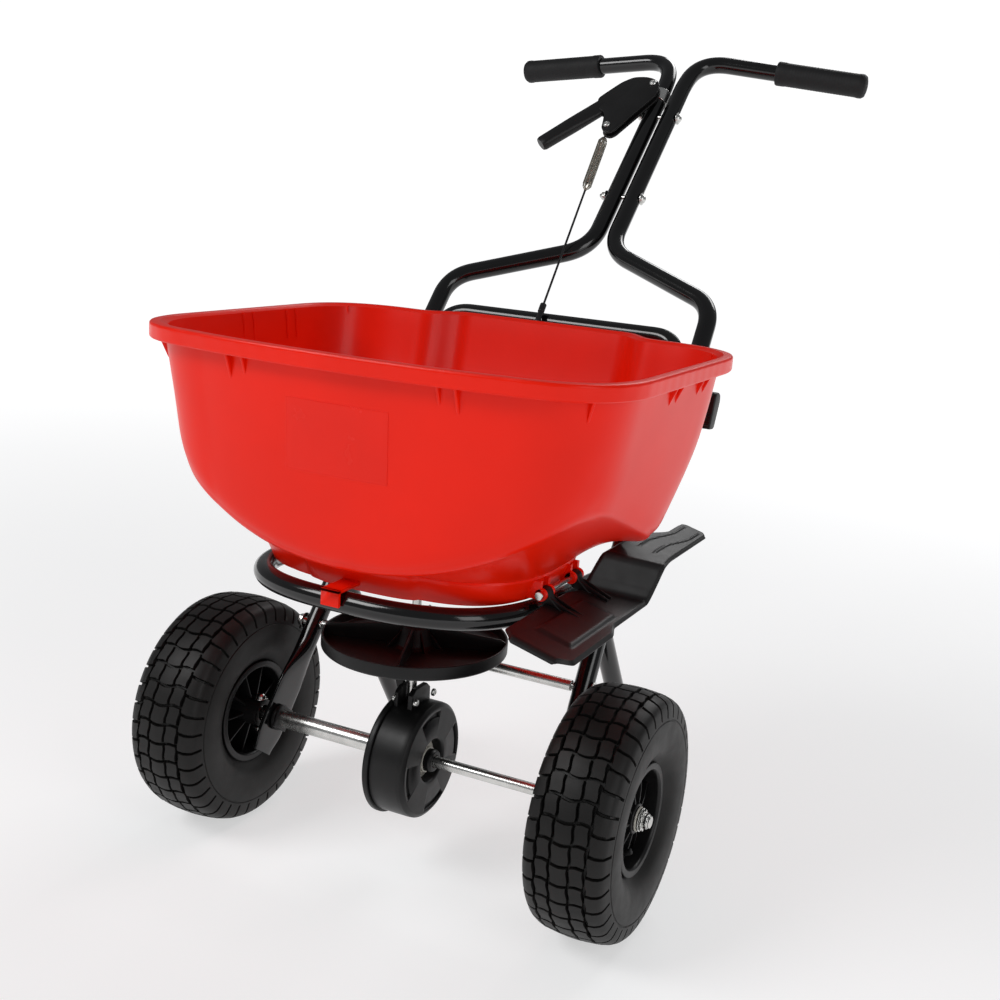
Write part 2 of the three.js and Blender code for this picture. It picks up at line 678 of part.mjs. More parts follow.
const outlets = [-28, 0, 28].map((x) => rod(11, V(x, 34, 340), V(x, 34, 370), 12));
{
  const outer = loft([...hopperSkin(0), level(NECK_TOP, flat(374)), level(NECK_FOOT, flat(NECK_BOTTOM))]);
  const funnel = { wide: 66, front: -60, rear: 52, panel: 56, corner: 40 };
  const innerNeck = [level(inset(NECK_TOP, 8), flat(379)), level(funnel, flat(FLOOR_TOP))];
  const inner = loft([...hopperSkin(HOPPER_WALL), ...innerNeck]);
  const skirtHeights = [RIM_TOP - RIM_SKIRT, RIM_TOP];
  const collar = loft(skirtHeights.map((z) => level(RIM_OUTLINE, flat(z))));
  const undersideHeights = [RIM_TOP - RIM_SKIRT - 5, RIM_TOP - 3.5];
  const underside = loft(undersideHeights.map((z) => level(inset(RIM_OUTLINE, 3.2), flat(z))));
  const topHeights = [RIM_TOP - 3.5, RIM_TOP];
  const rimTop = loft(topHeights.map((z) => level(inset(RIM_OUTLINE, 2), flat(z))));
  const base = level(inset(NECK_FOOT, 3.5), flat(NECK_BOTTOM - 5));
  const pocket = loft([base, level(inset(NECK_FOOT, 3.5), flat(352.4))]);

  const ribs = [];
  const rib = (x, y, turn, height = 34) => {
    const fin = new THREE.Shape([
      new THREE.Vector2(-2, 0),
      new THREE.Vector2(14, 0),
      new THREE.Vector2(-1, -height),
      new THREE.Vector2(-5, -height),
    ]);
    const plate = new THREE.ExtrudeGeometry(fin, { depth: 2.6, bevelEnabled: false }).translate(0, 0, -1.3);
    plate.rotateX(Math.PI / 2).rotateZ(turn);
    ribs.push(placed(plate, new THREE.Matrix4().setPosition(x, y, RIM_TOP - 2)));
  };
  // A rib on the wall where it faces the given direction.
  const cornerRib = (turn, height) => {
    const reach = (p) => p.x * Math.cos(turn) + p.y * Math.sin(turn);
    const points = level(inset(WALL_TOP, 3), flat(0));
    const farthest = points.reduce((best, p) => (reach(p) > reach(best) ? p : best));
    rib(farthest.x, farthest.y, turn, height);
  };
  for (const side of [-1, 1]) {
    const facing = (turn) => (side > 0 ? turn : Math.PI - turn);
    for (const x of [104, 122]) rib(side * x, -166, -Math.PI / 2);
    for (const y of [20, 38, 100, 118]) rib(side * 251, y, facing(0));
    cornerRib(facing(-0.7), 34);
    cornerRib(facing(0.7), 44);
  }
  const shaftHole = rod(SHAFT_RADIUS + 1, V(0, 0, 340), V(0, 0, 370), 20);
  const tailNotch = block([-24, 24], [90, 170], [NECK_BOTTOM - 2, 353]);
  const tab = join(
    block([-16, 4], [-159, -118], [354.6, 358.4]),
    block([-16, 4], [-159, -155.6], [341, 358.4]),
  );
  const lugs = [-36, 36].map((y) =>
    join(
      block([146, HINGE.x], [y - 11, y - 6.5], [353, 372]),
      block([146, HINGE.x], [y + 6.5, y + 11], [353, 372]),
      rod(6.5, V(HINGE.x, y - 11, HINGE.z), V(HINGE.x, y - 6.5, HINGE.z), 12),
      rod(6.5, V(HINGE.x, y + 6.5, HINGE.z), V(HINGE.x, y + 11, HINGE.z), 12),
    ),
  );
  const onHinge = (y) => V(HINGE.x, y, HINGE.z);
  const pinHoles = [-36, 36].map((y) => rod(2.8, onHinge(y - 20), onHinge(y + 20), 14));
  const anchorHole = drill(SHEATH_RADIUS + GAP, V(0, 180, GATE_CABLE_Z), V(0, 200, GATE_CABLE_Z));
  // The anchor holds the end of the cable's sheath.
  const anchor = cut(block([-8, 8], [186, 191], [354, 408]), anchorHole, inner);
  const rimPart = cut(collar, underside, outer);
  const bowl = cut(join(outer, rimPart, rimTop), inner);
  const body = join(bowl, ...ribs, tab, anchor, ...lugs);
  add("hopper", RED, cut(body, pocket, shaftHole, tailNotch, ...outlets, ...pinHoles));
}

// ---------------------------------------------------------------- outlet plates under the hopper
const PLATE_Z = [346.4, 348.8];
const GATE_Z = [349.4, 351.6];
{
  const footprint = loft(PLATE_Z.map((z) => level(inset(NECK_FOOT, 6), flat(z))));
  const notch = block([-24, 24], [112, 170], [340, 353]);
  const bearingHole = rod(9.6, V(0, 0, 340), V(0, 0, 370));
  add("outlet_plate", RED, cut(footprint, notch, bearingHole, ...outlets));
  const bearing = join(
    ring(9, SHAFT_RADIUS + GAP, V(0, 0, 341), V(0, 0, PLATE_Z[1]), 14),
    ring(13, SHAFT_RADIUS + GAP, V(0, 0, 341), V(0, 0, PLATE_Z[0] - GAP)),
  );
  add("shaft_bearing", ACETAL, bearing);

  const slab = new THREE.Shape();
  slab.moveTo(-46, 20.5).lineTo(46, 20.5).lineTo(46, 58).lineTo(20, 74).lineTo(14, 158).lineTo(-14, 158);
  slab.lineTo(-20, 74).lineTo(-46, 58).closePath();
  const gate = new THREE.ExtrudeGeometry(slab, { depth: GATE_Z[1] - GATE_Z[0], bevelEnabled: false });
  const cableHole = rod(2, V(0, 145, GATE_CABLE_Z), V(0, 165, GATE_CABLE_Z), 8);
  const lug = cut(block([-7, 7], [152, 158], [GATE_Z[0], GATE_CABLE_Z + 6]), cableHole);
  add("shutoff_gate", ZINC, join(solid(gate.translate(0, 0, GATE_Z[0])), lug));
}

// ---------------------------------------------------------------- shut-off lever, spring and cable
const UP_HANDLE = V(0, Math.SQRT1_2, Math.SQRT1_2); // along the handle's plane, away from the floor
const OFF_HANDLE = V(0, -Math.SQRT1_2, Math.SQRT1_2); // square to the handle's plane, to the front
const leverFrame = (across, up, off) =>
  LEVER_PIVOT.clone().add(V(across, 0, 0)).addScaledVector(UP_HANDLE, up).addScaledVector(OFF_HANDLE, off);
const leverMatrix = new THREE.Matrix4()
  .makeBasis(V(1, 0, 0), UP_HANDLE, OFF_HANDLE)
  .setPosition(LEVER_PIVOT);
const APEX = [-38, -86]; // where the spring hooks on, from the lever's pivot

{
  const cheek = new THREE.Shape();
  cheek.moveTo(9, -10).quadraticCurveTo(12, 4, 2, 11).quadraticCurveTo(-20, 24, -42, 8);
  cheek.lineTo(-80, -38).lineTo(-66, -58).lineTo(-53, -62).lineTo(-47, -84);
  cheek.quadraticCurveTo(-44, -98, -34, -98).quadraticCurveTo(-28, -97, -25, -90).closePath();
  const thickness = 13;
  const plate = new THREE.ExtrudeGeometry(cheek, {
    depth: thickness - 3,
    bevelThickness: 1.5,
    bevelSize: 1.5,
    bevelSegments: 1,
    curveSegments: 4,
  }).translate(0, 0, -(thickness - 3) / 2);
  const armEnd = V(-124, -121, 0);
  const armStart = V(-60, -38, 0);
  const sections = [
    [armStart, 15, 7],
    [V(-84, -68, 0), 15.5, 9],
    [V(-112, -105.5, 0), 15, 10],
    [armEnd, 13.5, 9.5],
  ];
  const way = armEnd.clone().sub(armStart).normalize();
  const acrossArm = V(-way.y, way.x, 0);
  const arm = loft(
    sections.map(([middle, wide, thick]) =>
      Array.from({ length: 14 }, (_, i) => {
        const angle = (2 * Math.PI * i) / 14;
        return middle
          .clone()
          .addScaledVector(acrossArm, wide * Math.cos(angle))
          .add(V(0, 0, thick * Math.sin(angle)));
      }),
    ),
  );
  const pivotHole = rod(3.5, V(0, 0, -20), V(0, 0, 20), 16);
  const hookSlot = block([APEX[0] - 12, APEX[0] + 16], [-112, -74], [-2.6, 2.6]);
  const pinHole = rod(2.3, V(APEX[0], APEX[1], -20), V(APEX[0], APEX[1], 20), 14);
  const lever = cut(join(solid(plate), arm), pivotHole, hookSlot, pinHole);
  add("control_lever", MATT_BLACK, solid(geometryOf(lever).applyMatrix4(leverMatrix)));

  const dome = [
    [0, 0],
    [5, 0],
    [5, 1.4],
    [3, 3],
    [0, 3.4],
  ];
  const front = thickness / 2 + GAP;
  const screw = join(
    turned(dome, leverFrame(0, 0, front), leverFrame(0, 0, front + 5), 16),
    rod(3, leverFrame(0, 0, -12), leverFrame(0, 0, front + 0.5), 14),
  );
  const pin = join(
    turned(dome, leverFrame(...APEX, front), leverFrame(...APEX, front + 5), 16),
    rod(2, leverFrame(...APEX, -front - 2.5), leverFrame(...APEX, front + 0.5), 14),
  );
  add("spring_pin", ZINC, pin);
  // The bracket is a split clamp around the left handle tube with a post that carries the pivot.
  const tubeAt = V(-13, 598, 844).addScaledVector(UP_HANDLE, 37);
  const clampFrom = tubeAt.clone().addScaledVector(UP_HANDLE, -11);
  const clampTo = tubeAt.clone().addScaledVector(UP_HANDLE, 9);
  const clamp = ring(TUBE_RADIUS + 2, TUBE_RADIUS + GAP, clampFrom, clampTo);
  const post = rod(7, leverFrame(0, 0, -7), leverFrame(0, 0, -12), 20);
  const clearFrom = clampFrom.clone().addScaledVector(UP_HANDLE, -30);
  const clearTo = clampTo.clone().addScaledVector(UP_HANDLE, 20);
  const clearTube = drill(TUBE_RADIUS + GAP, clearFrom, clearTo);
  const clearOther = block([-1.2, 30], [560, 700], [780, 960]);
  const bracket = cut(join(clamp, post), clearTube, clearOther);
  add("lever_bracket", ZINC, join(bracket, cut(screw, clearTube)));
}

const CABLE_GUIDE = V(-22, 311, 601.5); // mouth of the cable's sheath, above the crossbar
{
  const apex = leverFrame(...APEX, 0);
  const down = CABLE_GUIDE.clone().sub(apex).normalize();
  const on = (s) => apex.clone().addScaledVector(down, s);
  const onPin = (off) => leverFrame(...APEX, off);
  const eye = cut(rod(5.2, onPin(-1.6), onPin(1.6)), rod(2.4, onPin(-4), onPin(4), 8));
  const stem = rod(1.4, on(4.6), on(26), 6);
  const coilTop = 20;
  const coilEnd = 112;
  const body = turned(
    [
      [0, coilTop],
      [4, coilTop + 1],
      [7, coilTop + 7],
      [7, coilEnd - 12],
      [3, coilEnd],
      [0, coilEnd],
    ],
    apex,
    on(1),
    12,
  );
  const tail = rod(1.6, on(coilEnd - 1), on(coilEnd + 11), 6);
  add("control_spring", SPRING_STEEL, join(eye, stem, body, tail));
  const total = apex.distanceTo(CABLE_GUIDE);
  add("control_cable", MATT_BLACK, rod(1.4, on(coilEnd + 11 + GAP), on(total + 24.5), 8));

  const sheathTop = on(total);
  const route = [
    sheathTop,
    on(total + 28),
    V(-23, 288, 566),
    V(-21, 276, 520),
    V(-14, 262, 465),
    V(-6, 250, 415),
    V(0, 238, 376),
    V(0, SHEATH_END + 38, GATE_CABLE_Z),
    V(0, SHEATH_END, GATE_CABLE_Z),
  ];
  const sheath = roundedPath(route, [3, 8, 14, 14, 14, 14, 8]);
  add("cable_sheath", MATT_BLACK, sweep(circle(SHEATH_RADIUS, SHEATH_BORE), sheath, 32, 3));
  const inner = join(
    rod(1.4, V(0, 148, GATE_CABLE_Z), V(0, SHEATH_END + 4, GATE_CABLE_Z), 8),
    rod(3.6, V(0, 147.6, GATE_CABLE_Z), V(0, 151.7, GATE_CABLE_Z), 8),
  );
  add("gate_cable", MATT_BLACK, inner);
}

// ---------------------------------------------------------------- side deflector
const droop = THREE.MathUtils.degToRad(HINGE.droop);
const OUTWARD = V(Math.cos(droop), 0, -Math.sin(droop));
const SQUARE = V(Math.sin(droop), 0, Math.cos(droop));
const onDeflector = (out, y, lift) =>
  V(HINGE.x, y, HINGE.z).addScaledVector(OUTWARD, out).addScaledVector(SQUARE, lift);
const smooth = (t) => THREE.MathUtils.smoothstep(t, 0, 1);
const DEFLECTOR = { front: -140, rear: 262 };

// Edges of the deflector at distance y along the hinge: [inner, outer].
function deflectorEdges(y) {
  const front = smooth((y - DEFLECTOR.front) / 16);
  const step = smooth((y + 34) / 26);
  const toPedal = smooth((y - 78) / 62);
  const tip = smooth((DEFLECTOR.rear - y) / 9);
  const inner = 16 - 11 * front + 6 * smooth((y - 2) / 30) + 20 * smooth((y - 150) / 70) + 8 * (1 - tip);
  const outer = 66 + 13 * front - 7 * step - 6 * toPedal - 6 * (1 - tip);
  return [inner, outer];
}

function deflectorLift(out, y) {
  const start = 34 + 0.72 * (out - 10);
  const rise = 35 * smooth((y - start) / 34);
  const across = Math.min(smooth((out - 24) / 5), smooth((66 - out) / 5));
  const inBox = Math.min(across, smooth((y + 106) / 6), smooth((8 - y) / 6));
  return -7.5 + rise + 2.6 * inBox;
}

{
  const rows = 24;
  const columns = 6;
  const thick = 3.4;
  const at = (i, j, drop) => {
    const y = THREE.MathUtils.lerp(DEFLECTOR.front, DEFLECTOR.rear, i / rows);
    const [inner, outer] = deflectorEdges(y);
    const out = THREE.MathUtils.lerp(inner, outer, j / columns);
    return onDeflector(out, y, deflectorLift(out, y) - drop);
  };
  const rings = Array.from({ length: rows + 1 }, (_, i) => {
    const over = Array.from({ length: columns + 1 }, (_, j) => at(i, j, 0));
    const under = Array.from({ length: columns + 1 }, (_, j) => at(i, columns - j, thick));
    return [...over, ...under];
  });
  const sheet = loft(rings);
  const arms = [-36, 36].map((y) => {
    const shape = new THREE.Shape();
    shape.moveTo(-6, 0).quadraticCurveTo(-6, 6.2, 0, 6.2).quadraticCurveTo(5, 6.2, 8, 0);
    shape.lineTo(26, -8.4).lineTo(26, -10.5).lineTo(4, -10.5).quadraticCurveTo(-4, -7, -6, 0);
    const plate = new THREE.ExtrudeGeometry(shape, { depth: 12, bevelEnabled: false, curveSegments: 3 });
    const basis = new THREE.Matrix4().makeBasis(OUTWARD, SQUARE, V(0, -1, 0));
    return placed(plate, basis.setPosition(onDeflector(0, y + 6, 0)));
  });
  const onHinge = (y) => V(HINGE.x, y, HINGE.z);
  const hingeHoles = [-36, 36].map((y) => rod(2.8, onHinge(y - 20), onHinge(y + 20), 14));
  add("side_deflector", MATT_BLACK, cut(join(sheet, ...arms), ...hingeHoles));
  const pin = join(
    rod(2.5, V(HINGE.x, -49, HINGE.z), V(HINGE.x, 50, HINGE.z), 14),
    rod(4.4, V(HINGE.x, -51, HINGE.z), V(HINGE.x, -48.5, HINGE.z), 16),
  );
  add("deflector_pin", ZINC, pin);
}

// ---------------------------------------------------------------- rate lever on the right handle leg
const RATE_PIVOT = V(184, 277, 519);
{
  const { y, z } = RATE_PIVOT;
  const inside = RATE_PIVOT.x + TUBE_RADIUS + 1;
  const shape = new THREE.Shape();
  shape.moveTo(y + 8, z).quadraticCurveTo(y + 8, z + 12, y - 2, z + 12);
  shape.quadraticCurveTo(y - 13, z + 12, y - 13, z);
  shape.lineTo(y - 24, z - 29).lineTo(y - 6, z - 31).closePath();
  const blade = new THREE.ExtrudeGeometry(shape, { depth: 18, bevelEnabled: false, curveSegments: 6 });
  const basis = new THREE.Matrix4().makeBasis(V(0, 1, 0), V(0, 0, 1), V(1, 0, 0));
  basis.setPosition(inside + 8, 0, 0);
  const ridges = [0, 1, 2].map((i) => {
    const on = (x) => V(x, y - 22 + i * 2.2, z - 24 + i * 5);
    return rod(1.2, on(inside + 10), on(inside + 24), 6);
  });
  const boss = rod(7, V(inside, y, z), V(inside + 9, y, z));
  add("rate_lever", MATT_BLACK, join(placed(blade, basis), boss, ...ridges));
}

export default spreader;
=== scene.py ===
"""The looks of a walk-behind broadcast spreader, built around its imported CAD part.

Shapes are worked out in millimetres with the origin on the floor under the middle of the axle: +Z up, -Y the
front, X along the axle. piece() turns them into the row frame's metres.
"""

from math import copysign, cos, pi, radians, sin, sqrt

import bmesh
import bpy
from mathutils import Matrix, Vector


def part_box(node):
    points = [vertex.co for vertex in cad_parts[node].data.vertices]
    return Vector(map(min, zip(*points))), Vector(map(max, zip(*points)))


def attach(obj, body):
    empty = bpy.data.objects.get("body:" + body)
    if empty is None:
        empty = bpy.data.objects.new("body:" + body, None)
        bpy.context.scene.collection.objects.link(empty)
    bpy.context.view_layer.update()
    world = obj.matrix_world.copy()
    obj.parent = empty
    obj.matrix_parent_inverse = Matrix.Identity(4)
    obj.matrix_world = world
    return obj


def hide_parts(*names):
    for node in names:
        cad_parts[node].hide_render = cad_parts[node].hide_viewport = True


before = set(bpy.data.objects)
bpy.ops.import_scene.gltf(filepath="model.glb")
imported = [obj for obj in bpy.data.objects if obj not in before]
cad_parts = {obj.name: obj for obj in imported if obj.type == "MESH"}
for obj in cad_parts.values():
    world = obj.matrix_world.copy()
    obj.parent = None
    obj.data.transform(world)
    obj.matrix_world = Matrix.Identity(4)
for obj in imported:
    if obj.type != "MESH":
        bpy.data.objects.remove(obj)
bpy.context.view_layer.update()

# ------------------------------------------------------------------ places and sizes from the frame
MM = 0.001
axle_low, axle_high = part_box("axle")
AXLE_Y = (axle_low.y + axle_high.y) / 2


def to_row(p):
    return Vector((p[0] * MM, p[1] * MM + AXLE_Y, p[2] * MM))


def span(node):
    """A CAD node's box in local millimetres: (low, high)."""
    low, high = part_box(node)
    shift = Vector((0, AXLE_Y, 0))
    return (low - shift) / MM, (high - shift) / MM


def middle(node):
    low, high = span(node)
    return (low + high) / 2


V = lambda x, y, z: Vector((x, y, z))
ORIGIN, X, Y, Z = V(0, 0, 0), V(1, 0, 0), V(0, 1, 0), V(0, 0, 1)
WHEEL_X = middle("tyre_right").x
WHEEL_Z = middle("axle").z
TUBE = 11  # radius of the frame's and the handle's tubes
LEG_TOP = V(156, 290.5, span("frame_leg_right")[1].z)
LEG_FOOT_X = 176
RIM_TOP = span("hopper")[1].z
ROD = middle("cross_rod")
GEARBOX_RADIUS = 64
IMPELLER_Z = span("impeller")[0].z + 20
IMPELLER_RADIUS = span("impeller")[1].x
GATE_CABLE_Z = middle("gate_cable").z


# ------------------------------------------------------------------ shapes: lists of (points, faces)
def skin(rings, around=True, ends=True, loop=False):
    """Quads between rings of equal length; ends caps the first and last ring, loop joins them."""
    count = len(rings[0])
    points = [p for ring in rings for p in ring]
    faces = []
    for i in range(len(rings) if loop else len(rings) - 1):
        a, b = i * count, (i + 1) % len(rings) * count
        for j in range(count if around else count - 1):
            k = (j + 1) % count
            faces.append((a + j, a + k, b + k, b + j))
    if ends and not loop:
        faces.append(tuple(reversed(range(count))))
        faces.append(tuple(range(len(points) - count, len(points))))
    return points, faces


def angles(count, start=0.0):
    """Angles evenly spaced over one turn."""
    return [2 * pi * i / count + start for i in range(count)]


def spoke(turn):
    """A direction square to the axle."""
    return V(0, cos(turn), sin(turn))


def oval(turn, wide, thick, power, power_through):
    """A point on a section between an ellipse and a box, as its two offsets from the middle."""
    c, s = cos(turn), sin(turn)
    return copysign(wide * abs(c) ** power, c), copysign(thick * abs(s) ** power_through, s)


def square_to(axis):
    """Two directions square to an axis and to each other."""
    axis = axis.normalized()
    side = axis.cross(Z if abs(axis.z) < 0.9 else X).normalized()
    return side, axis.cross(side)


def fillet(profile, radius, closed=False, steps=4):
    """Rounds each corner of a 2-D line."""
    points = [Vector(p).to_2d() for p in profile]
    made = []
    for i, p in enumerate(points):
        if not closed and i in (0, len(points) - 1):
            made.append(p)
            continue
        back, on = points[i - 1] - p, points[(i + 1) % len(points)] - p
        reach = min(radius, back.length * 0.45, on.length * 0.45)
        start, end = p + back.normalized() * reach, p + on.normalized() * reach
        for s in range(steps + 1):
            t = s / steps
            made.append(start * (1 - t) ** 2 + p * 2 * t * (1 - t) + end * t**2)
    return made


def turned(profile, at, axis, sides=72, radius=0.0, closed=False, steps=3):
    """A turned body: profile holds (radius, distance along the axis) pairs."""
    line = fillet(profile, radius, closed, steps) if radius else [Vector(p).to_2d() for p in profile]
    axis = axis.normalized()
    u, w = square_to(axis)
    rings = []
    for turn in angles(sides):
        out = u * cos(turn) + w * sin(turn)
        rings.append([at + out * p.x + axis * p.y for p in line])
    return skin(rings, around=closed, ends=False, loop=True)


def rounded_path(corners, reach, steps=14):
    """A path with its corners rounded; reach is one distance for all or a list with one for each."""
    reaches = reach if isinstance(reach, (list, tuple)) else [reach] * (len(corners) - 2)
    path = [corners[0]]
    for i, near in enumerate(reaches):
        corner = corners[i + 1]
        start = corner + (path[-1] - corner).normalized() * near
        end = corner + (corners[i + 2] - corner).normalized() * near
        for s in range(steps + 1):
            t = s / steps
            path.append(start * (1 - t) ** 2 + corner * 2 * t * (1 - t) + end * t**2)
    path.append(corners[-1])
    return path


def tube(path, radius, sides=28, ends=True):
    """A round bar along a path; radius is a number or a list with one for each point."""
    rings = []
    side = None
    for i, p in enumerate(path):
        along = (path[min(i + 1, len(path) - 1)] - path[max(i - 1, 0)]).normalized()
        side = square_to(along)[0] if side is None else (side - along * side.dot(along)).normalized()
        other = along.cross(side)
        r = radius[i] if isinstance(radius, list) else radius
        rings.append([p + (side * cos(a) + other * sin(a)) * r for a in angles(sides)])
    return skin(rings, ends=ends)


def rod(radius, start, end, edge=0.6, sides=32):
    length = (end - start).length
    return turned([(0, 0), (radius, 0), (radius, length), (0, length)], start, end - start, sides, edge)


def shrunk(outline, by):
    """A closed 2-D outline moved inward by a distance."""
    area = sum(p.x * q.y - q.x * p.y for p, q in zip(outline, outline[1:] + outline[:1]))
    way = 1 if area > 0 else -1
    made = []
    for i, p in enumerate(outline):
        before = (p - outline[i - 1]).normalized()
        after = (outline[(i + 1) % len(outline)] - p).normalized()
        normal = Vector((-before.y - after.y, before.x + after.x))
        if normal.length < 1e-6:
            normal = Vector((-before.y, before.x))
        normal.normalize()
        miter = max(abs(normal.dot(Vector((-before.y, before.x)))), 0.5)
        made.append(p + normal * (way * by / miter))
    return made


def plate(outline, low, high, basis, edge=0.8, steps=3):
    """A flat piece with rounded edges. basis is (origin, u, v, w): outline in u and v, low..high along w."""
    origin, u, v, w = basis
    outline = [Vector(p).to_2d() for p in outline]
    levels = []
    for s in range(steps + 1):
        angle = pi / 2 * s / steps
        levels.append((edge * (1 - sin(angle)), low + edge * (1 - cos(angle))))
    levels += [(by, low + high - depth) for by, depth in reversed(levels)]
    return skin([[origin + u * p.x + v * p.y + w * depth for p in shrunk(outline, by)] for by, depth in levels])


def box(x, y, z, edge=0.8):
    outline = [(x[0], y[0]), (x[1], y[0]), (x[1], y[1]), (x[0], y[1])]
    return plate(outline, z[0], z[1], (ORIGIN, X, Y, Z), edge)


def hexagon(width, at, axis, length):
    """A hexagonal nut with its corners rounded."""
    u, v = square_to(axis)
    corners = [(width * cos(pi * i / 3), width * sin(pi * i / 3)) for i in range(6)]
    outline = fillet(corners, 1.2, closed=True, steps=2)
    return plate(outline, 0, length, (at, u, v, axis.normalized()), 0.8)


def thread(radius, start, end, pitch=1.25):
    """The free end of a screw, with its threads as fine rings."""
    length = (end - start).length
    count = max(int(length / pitch), 1)
    profile = [(0, 0)]
    for i in range(count):
        profile += [(radius * 0.88, i * pitch), (radius, (i + 0.5) * pitch)]
    profile += [(radius * 0.88, count * pitch), (radius * 0.7, length), (0, length)]
    return turned(profile, start, end - start, 24)


def bolt(head, nut, radius=3.2):
    """A domed bolt from head to nut: head with washer, nut, and threads standing out of the nut."""
    way = (nut - head).normalized()
    dome = [(0, -4.9), (2.6, -4.6), (4.9, -3.1), (6.1, -1.0), (6.2, 0), (0, 0)]
    return [
        turned(dome, head - way * 0.9, way, 32, 0.5),
        turned([(0, 0), (8.0, 0), (8.0, 1.1), (0, 1.1)], head - way * 1.1, way, 32, 0.3),
        rod(radius, head, nut, 0.1),
        turned([(0, 0), (7.6, 0), (7.6, 1.1), (0, 1.1)], nut - way * 0.3, way, 32, 0.3),
        hexagon(5.9, nut + way * 0.9, way, 5),
        thread(radius, nut + way * 5.5, nut + way * 9),
    ]


def mirrored(parts):
    return [([V(-p.x, p.y, p.z) for p in points], faces) for points, faces in parts]


def smooth(t):
    t = min(max(t, 0.0), 1.0)
    return t * t * (3 - 2 * t)


def mix(a, b, t):
    return a + (b - a) * t


def look(name, colour, rough, grain, mottle, wear, metal=0.0, coat=0.0, wave=None, shine=0.3):
    """A material for a slot, whose colour, roughness and relief vary over the surface. grain and wave are
    (scale, height) of fine and broad relief, mottle is (scale, strength) of the colour's variation, wear that
    of roughness."""
    material = bpy.data.materials.new(name)
    material.use_nodes = True
    nodes, links = material.node_tree.nodes, material.node_tree.links
    shader = nodes["Principled BSDF"]
    shader.inputs["Metallic"].default_value = metal
    shader.inputs["Specular IOR Level"].default_value = 0.5 if metal else shine
    shader.inputs["Coat Weight"].default_value = coat
    shader.inputs["Coat Roughness"].default_value = 0.08
    where = nodes.new("ShaderNodeTexCoord").outputs["Object"]

    def noise(scale, detail=4.0):
        node = nodes.new("ShaderNodeTexNoise")
        node.inputs["Scale"].default_value = scale
        node.inputs["Detail"].default_value = detail
        links.new(where, node.inputs["Vector"])
        return node.outputs["Fac"]

    ramp = nodes.new("ShaderNodeValToRGB")
    ramp.color_ramp.elements[0].position = 0.3
    ramp.color_ramp.elements[1].position = 0.7
    for element, factor in zip(ramp.color_ramp.elements, (1 - mottle[1], 1 + mottle[1])):
        element.color = (*(min(c * factor, 1.0) for c in colour), 1)
    links.new(noise(mottle[0]), ramp.inputs["Fac"])
    links.new(ramp.outputs["Color"], shader.inputs["Base Color"])

    span_of = nodes.new("ShaderNodeMapRange")
    span_of.inputs["To Min"].default_value = max(rough - wear, 0.04)
    span_of.inputs["To Max"].default_value = min(rough + wear, 1.0)
    links.new(noise(mottle[0] * 2.7), span_of.inputs["Value"])
    links.new(span_of.outputs["Result"], shader.inputs["Roughness"])

    relief = nodes.new("ShaderNodeBump")
    relief.inputs["Strength"].default_value = 1.0
    relief.inputs["Distance"].default_value = grain[1] * MM
    links.new(noise(grain[0], 2.0), relief.inputs["Height"])
    if wave:
        broad = nodes.new("ShaderNodeBump")
        broad.inputs["Strength"].default_value = 1.0
        broad.inputs["Distance"].default_value = wave[1] * MM
        links.new(noise(wave[0], 1.0), broad.inputs["Height"])
        links.new(broad.outputs["Normal"], relief.inputs["Normal"])
    links.new(relief.outputs["Normal"], shader.inputs["Normal"])
    return material


RED = look("red_hopper_plastic", (0.85, 0.011, 0.0002), 0.32, (700, 0.02), (7, 0.05), 0.05,
           coat=0.05, wave=(14, 0.2), shine=0.18)
LABEL = look("red_label_film", (0.83, 0.010, 0.0002), 0.26, (300, 0.02), (9, 0.04), 0.04,
             coat=0.07, shine=0.2)
GLOSS = look("gloss_black_paint", (0.003, 0.003, 0.0032), 0.14, (420, 0.02), (40, 0.2), 0.04,
             coat=0.15, shine=0.45)
MOULDED = look("moulded_black_plastic", (0.006, 0.0058, 0.006), 0.42, (1500, 0.03), (26, 0.25), 0.07)
RIM_LOOK = look("rim_black_plastic", (0.0055, 0.0052, 0.0055), 0.38, (1200, 0.03), (30, 0.25), 0.08)
GRIP = look("grip_rubber", (0.007, 0.007, 0.0075), 0.62, (2200, 0.08), (45, 0.2), 0.07)
TYRE = look("tyre_rubber", (0.006, 0.0054, 0.005), 0.5, (1300, 0.07), (22, 0.3), 0.1)
ZINC = look("bright_zinc", (0.66, 0.66, 0.64), 0.26, (1800, 0.01), (55, 0.12), 0.1, metal=1.0)
WIRE = look("spring_wire", (0.55, 0.52, 0.46), 0.26, (2500, 0.02), (120, 0.25), 0.12, metal=1.0)
ACETAL = look("white_acetal", (0.72, 0.69, 0.62), 0.45, (1000, 0.02), (20, 0.04), 0.05)
SHEATH = look("cable_jacket", (0.012, 0.012, 0.013), 0.34, (1600, 0.03), (60, 0.2), 0.06)


def add(name, data):
    thing = bpy.data.objects.new(name, data)
    bpy.context.scene.collection.objects.link(thing)
    return thing


def piece(name, body, material, parts, replaces=(), crease=38):
    """One visible piece, riding on a body, from shapes in local millimetres."""
    made = bmesh.new()
    for points, faces in parts:
        verts = [made.verts.new(to_row(p)) for p in points]
        for face in faces:
            made.faces.new([verts[i] for i in face])
    bmesh.ops.remove_doubles(made, verts=made.verts, dist=2e-6)
    bmesh.ops.recalc_face_normals(made, faces=made.faces)
    for face in made.faces:
        face.smooth = True
    for edge in made.edges:
        if len(edge.link_faces) == 2 and edge.calc_face_angle() > radians(crease):
            edge.smooth = False
    mesh = bpy.data.meshes.new(name)
    made.to_mesh(mesh)
    made.free()
    mesh.materials.append(material)
    thing = add(name, mesh)
    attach(thing, body)
    if replaces:
        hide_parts(*replaces)
    return thing


